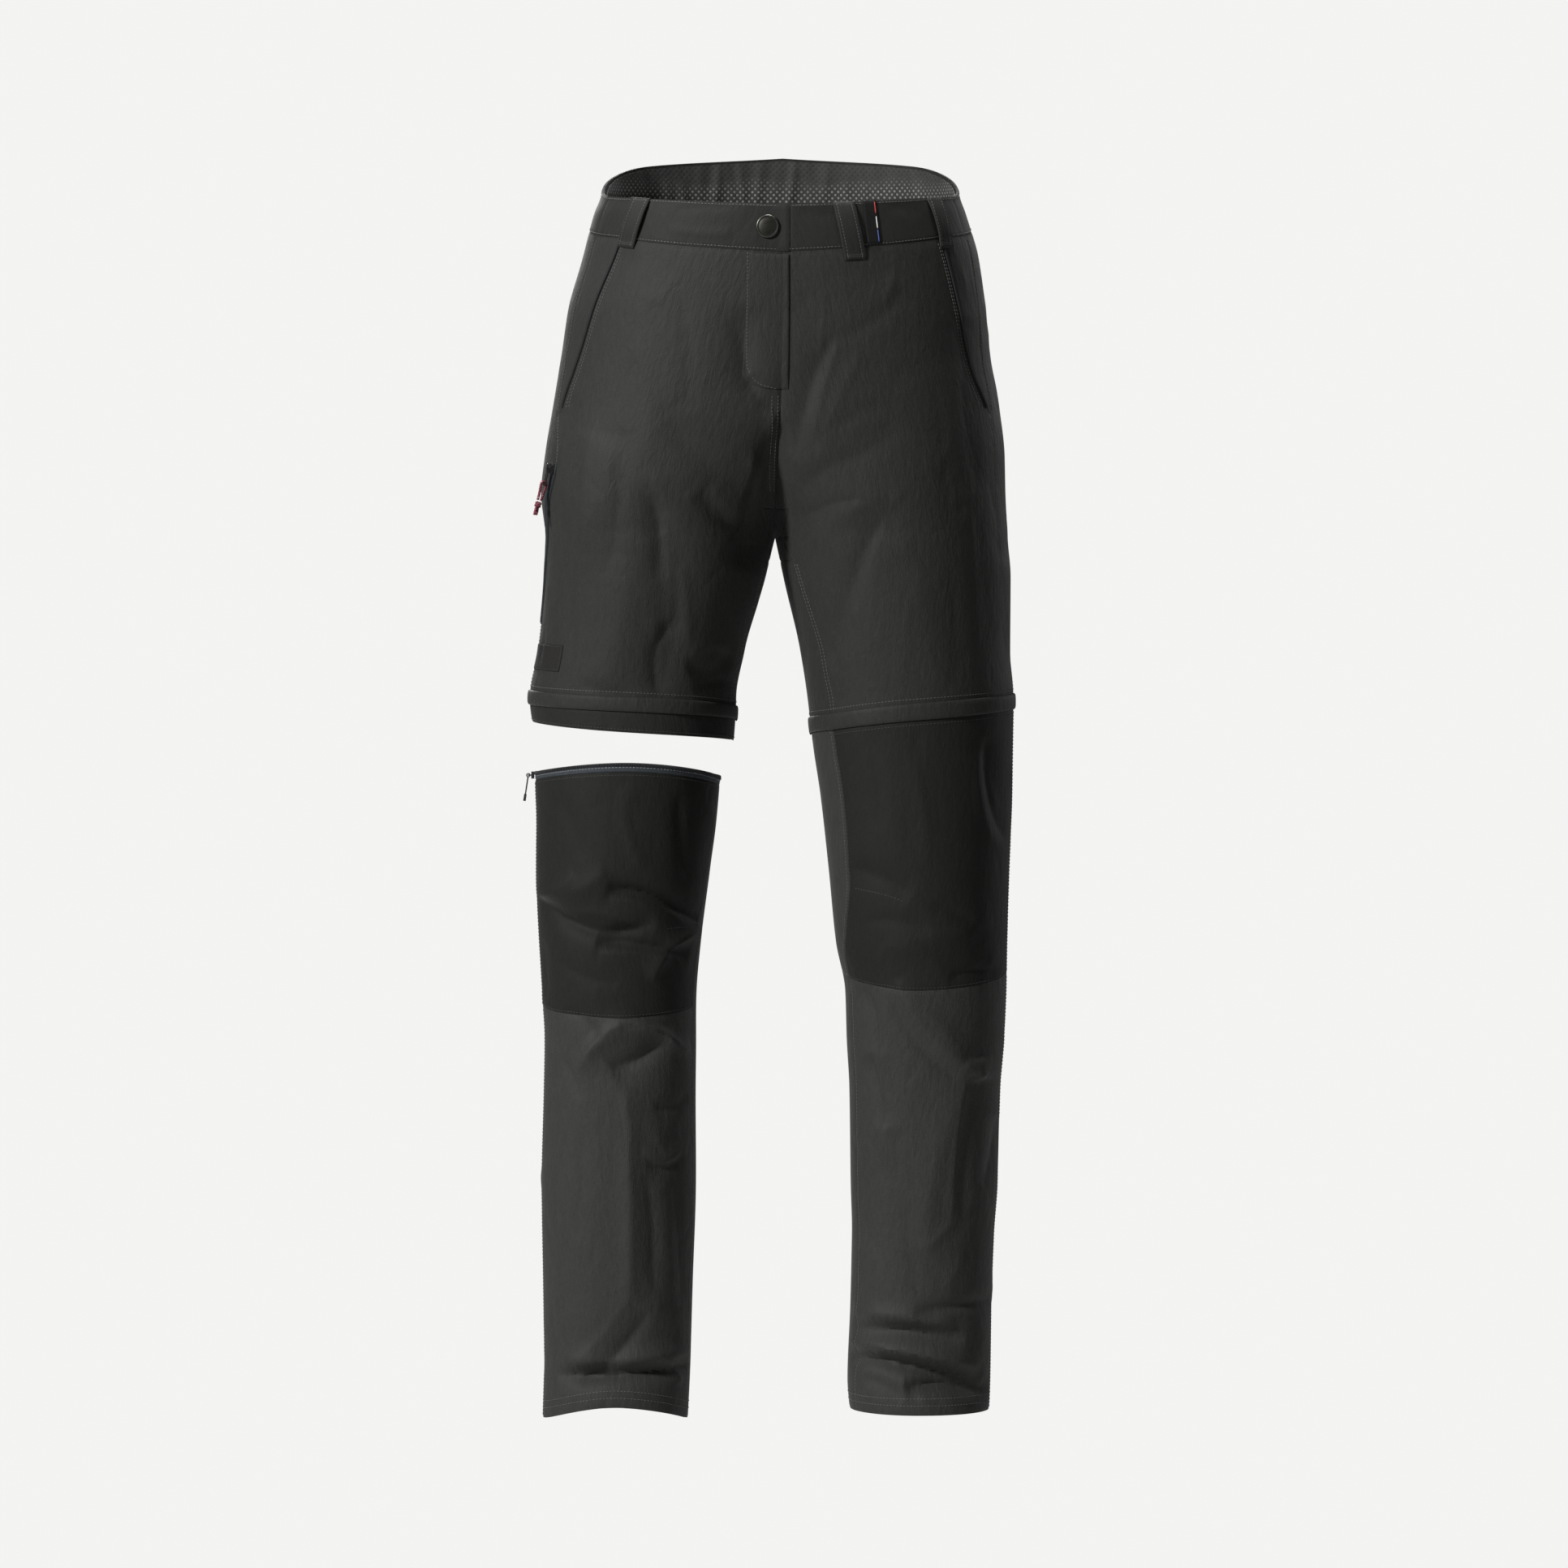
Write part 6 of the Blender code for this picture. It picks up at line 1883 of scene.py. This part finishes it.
class TROUSERS_OT_waistband(bpy.types.Operator):
    """The three pieces of the waistband"""

    bl_idname = "trousers.waistband"
    bl_label = "Waistband"

    def execute(self, context):
        make_waistband()
        return {"FINISHED"}


class TROUSERS_OT_waist_mesh(bpy.types.Operator):
    """Gathered mesh inside the back of the waistband"""

    bl_idname = "trousers.waist_mesh"
    bl_label = "Waist mesh"

    def execute(self, context):
        make_waist_mesh()
        return {"FINISHED"}


class TROUSERS_OT_fly(bpy.types.Operator):
    """Fly placket and snap"""

    bl_idname = "trousers.fly"
    bl_label = "Fly and snap"

    def execute(self, context):
        make_fly()
        make_snap()
        return {"FINISHED"}


class TROUSERS_OT_loops(bpy.types.Operator):
    """Belt loops and the narrow woven tab"""

    bl_idname = "trousers.loops"
    bl_label = "Belt loops"

    def execute(self, context):
        make_loops()
        return {"FINISHED"}


class TROUSERS_OT_pockets(bpy.types.Operator):
    """Bound pocket mouths, thigh zip and thigh patch"""

    bl_idname = "trousers.pockets"
    bl_label = "Pockets"

    def execute(self, context):
        make_pocket_edges()
        make_thigh_zip()
        make_label()
        return {"FINISHED"}


class TROUSERS_OT_leg_zips(bpy.types.Operator):
    """Strips over the leg zips, and the open zip's coil"""

    bl_idname = "trousers.leg_zips"
    bl_label = "Leg zips"

    def execute(self, context):
        make_zip_strips()
        make_leg_tape()
        return {"FINISHED"}


class TROUSERS_OT_metal(bpy.types.Operator):
    """Finishes of the sliders and pulls"""

    bl_idname = "trousers.metal"
    bl_label = "Sliders and pulls"

    def execute(self, context):
        dress_metal()
        return {"FINISHED"}


class TROUSERS_OT_stitches(bpy.types.Operator):
    """All the stitching on the panels"""

    bl_idname = "trousers.stitches"
    bl_label = "Stitching"

    def execute(self, context):
        make_stitches()
        return {"FINISHED"}


STEPS = (TROUSERS_OT_studio, TROUSERS_OT_thigh_pull, TROUSERS_OT_shorts_panels, TROUSERS_OT_lower_legs,
         TROUSERS_OT_waistband, TROUSERS_OT_waist_mesh, TROUSERS_OT_fly, TROUSERS_OT_loops,
         TROUSERS_OT_pockets, TROUSERS_OT_leg_zips, TROUSERS_OT_metal, TROUSERS_OT_stitches)


class TROUSERS_PT_panel(bpy.types.Panel):
    """Sizes, colours and the steps that build the trousers"""

    bl_idname = "TROUSERS_PT_panel"
    bl_label = "Zip-off trousers"
    bl_space_type = "VIEW_3D"
    bl_region_type = "UI"
    bl_category = "Trousers"

    def draw(self, context):
        scene = context.scene
        for group in (scene.trousers_sizes, scene.trousers_colours, scene.trousers_studio):
            box = self.layout.box()
            for name in group.__annotations__:
                box.prop(group, name)
        for step in STEPS:
            self.layout.operator(step.bl_idname)


GROUPS = (TrousersSizes, TrousersColours, TrousersStudio)


def register():
    for made in GROUPS + STEPS + (TROUSERS_PT_panel,):
        bpy.utils.register_class(made)
    bpy.types.Scene.trousers_sizes = PointerProperty(type=TrousersSizes)
    bpy.types.Scene.trousers_colours = PointerProperty(type=TrousersColours)
    bpy.types.Scene.trousers_studio = PointerProperty(type=TrousersStudio)


def unregister():
    del bpy.types.Scene.trousers_sizes
    del bpy.types.Scene.trousers_colours
    del bpy.types.Scene.trousers_studio
    for made in reversed(GROUPS + STEPS + (TROUSERS_PT_panel,)):
        bpy.utils.unregister_class(made)


def main():
    register()
    for step in STEPS:
        area, word = step.bl_idname.split(".")
        getattr(getattr(bpy.ops, area), word)()


if __name__ == "__main__":
    main()
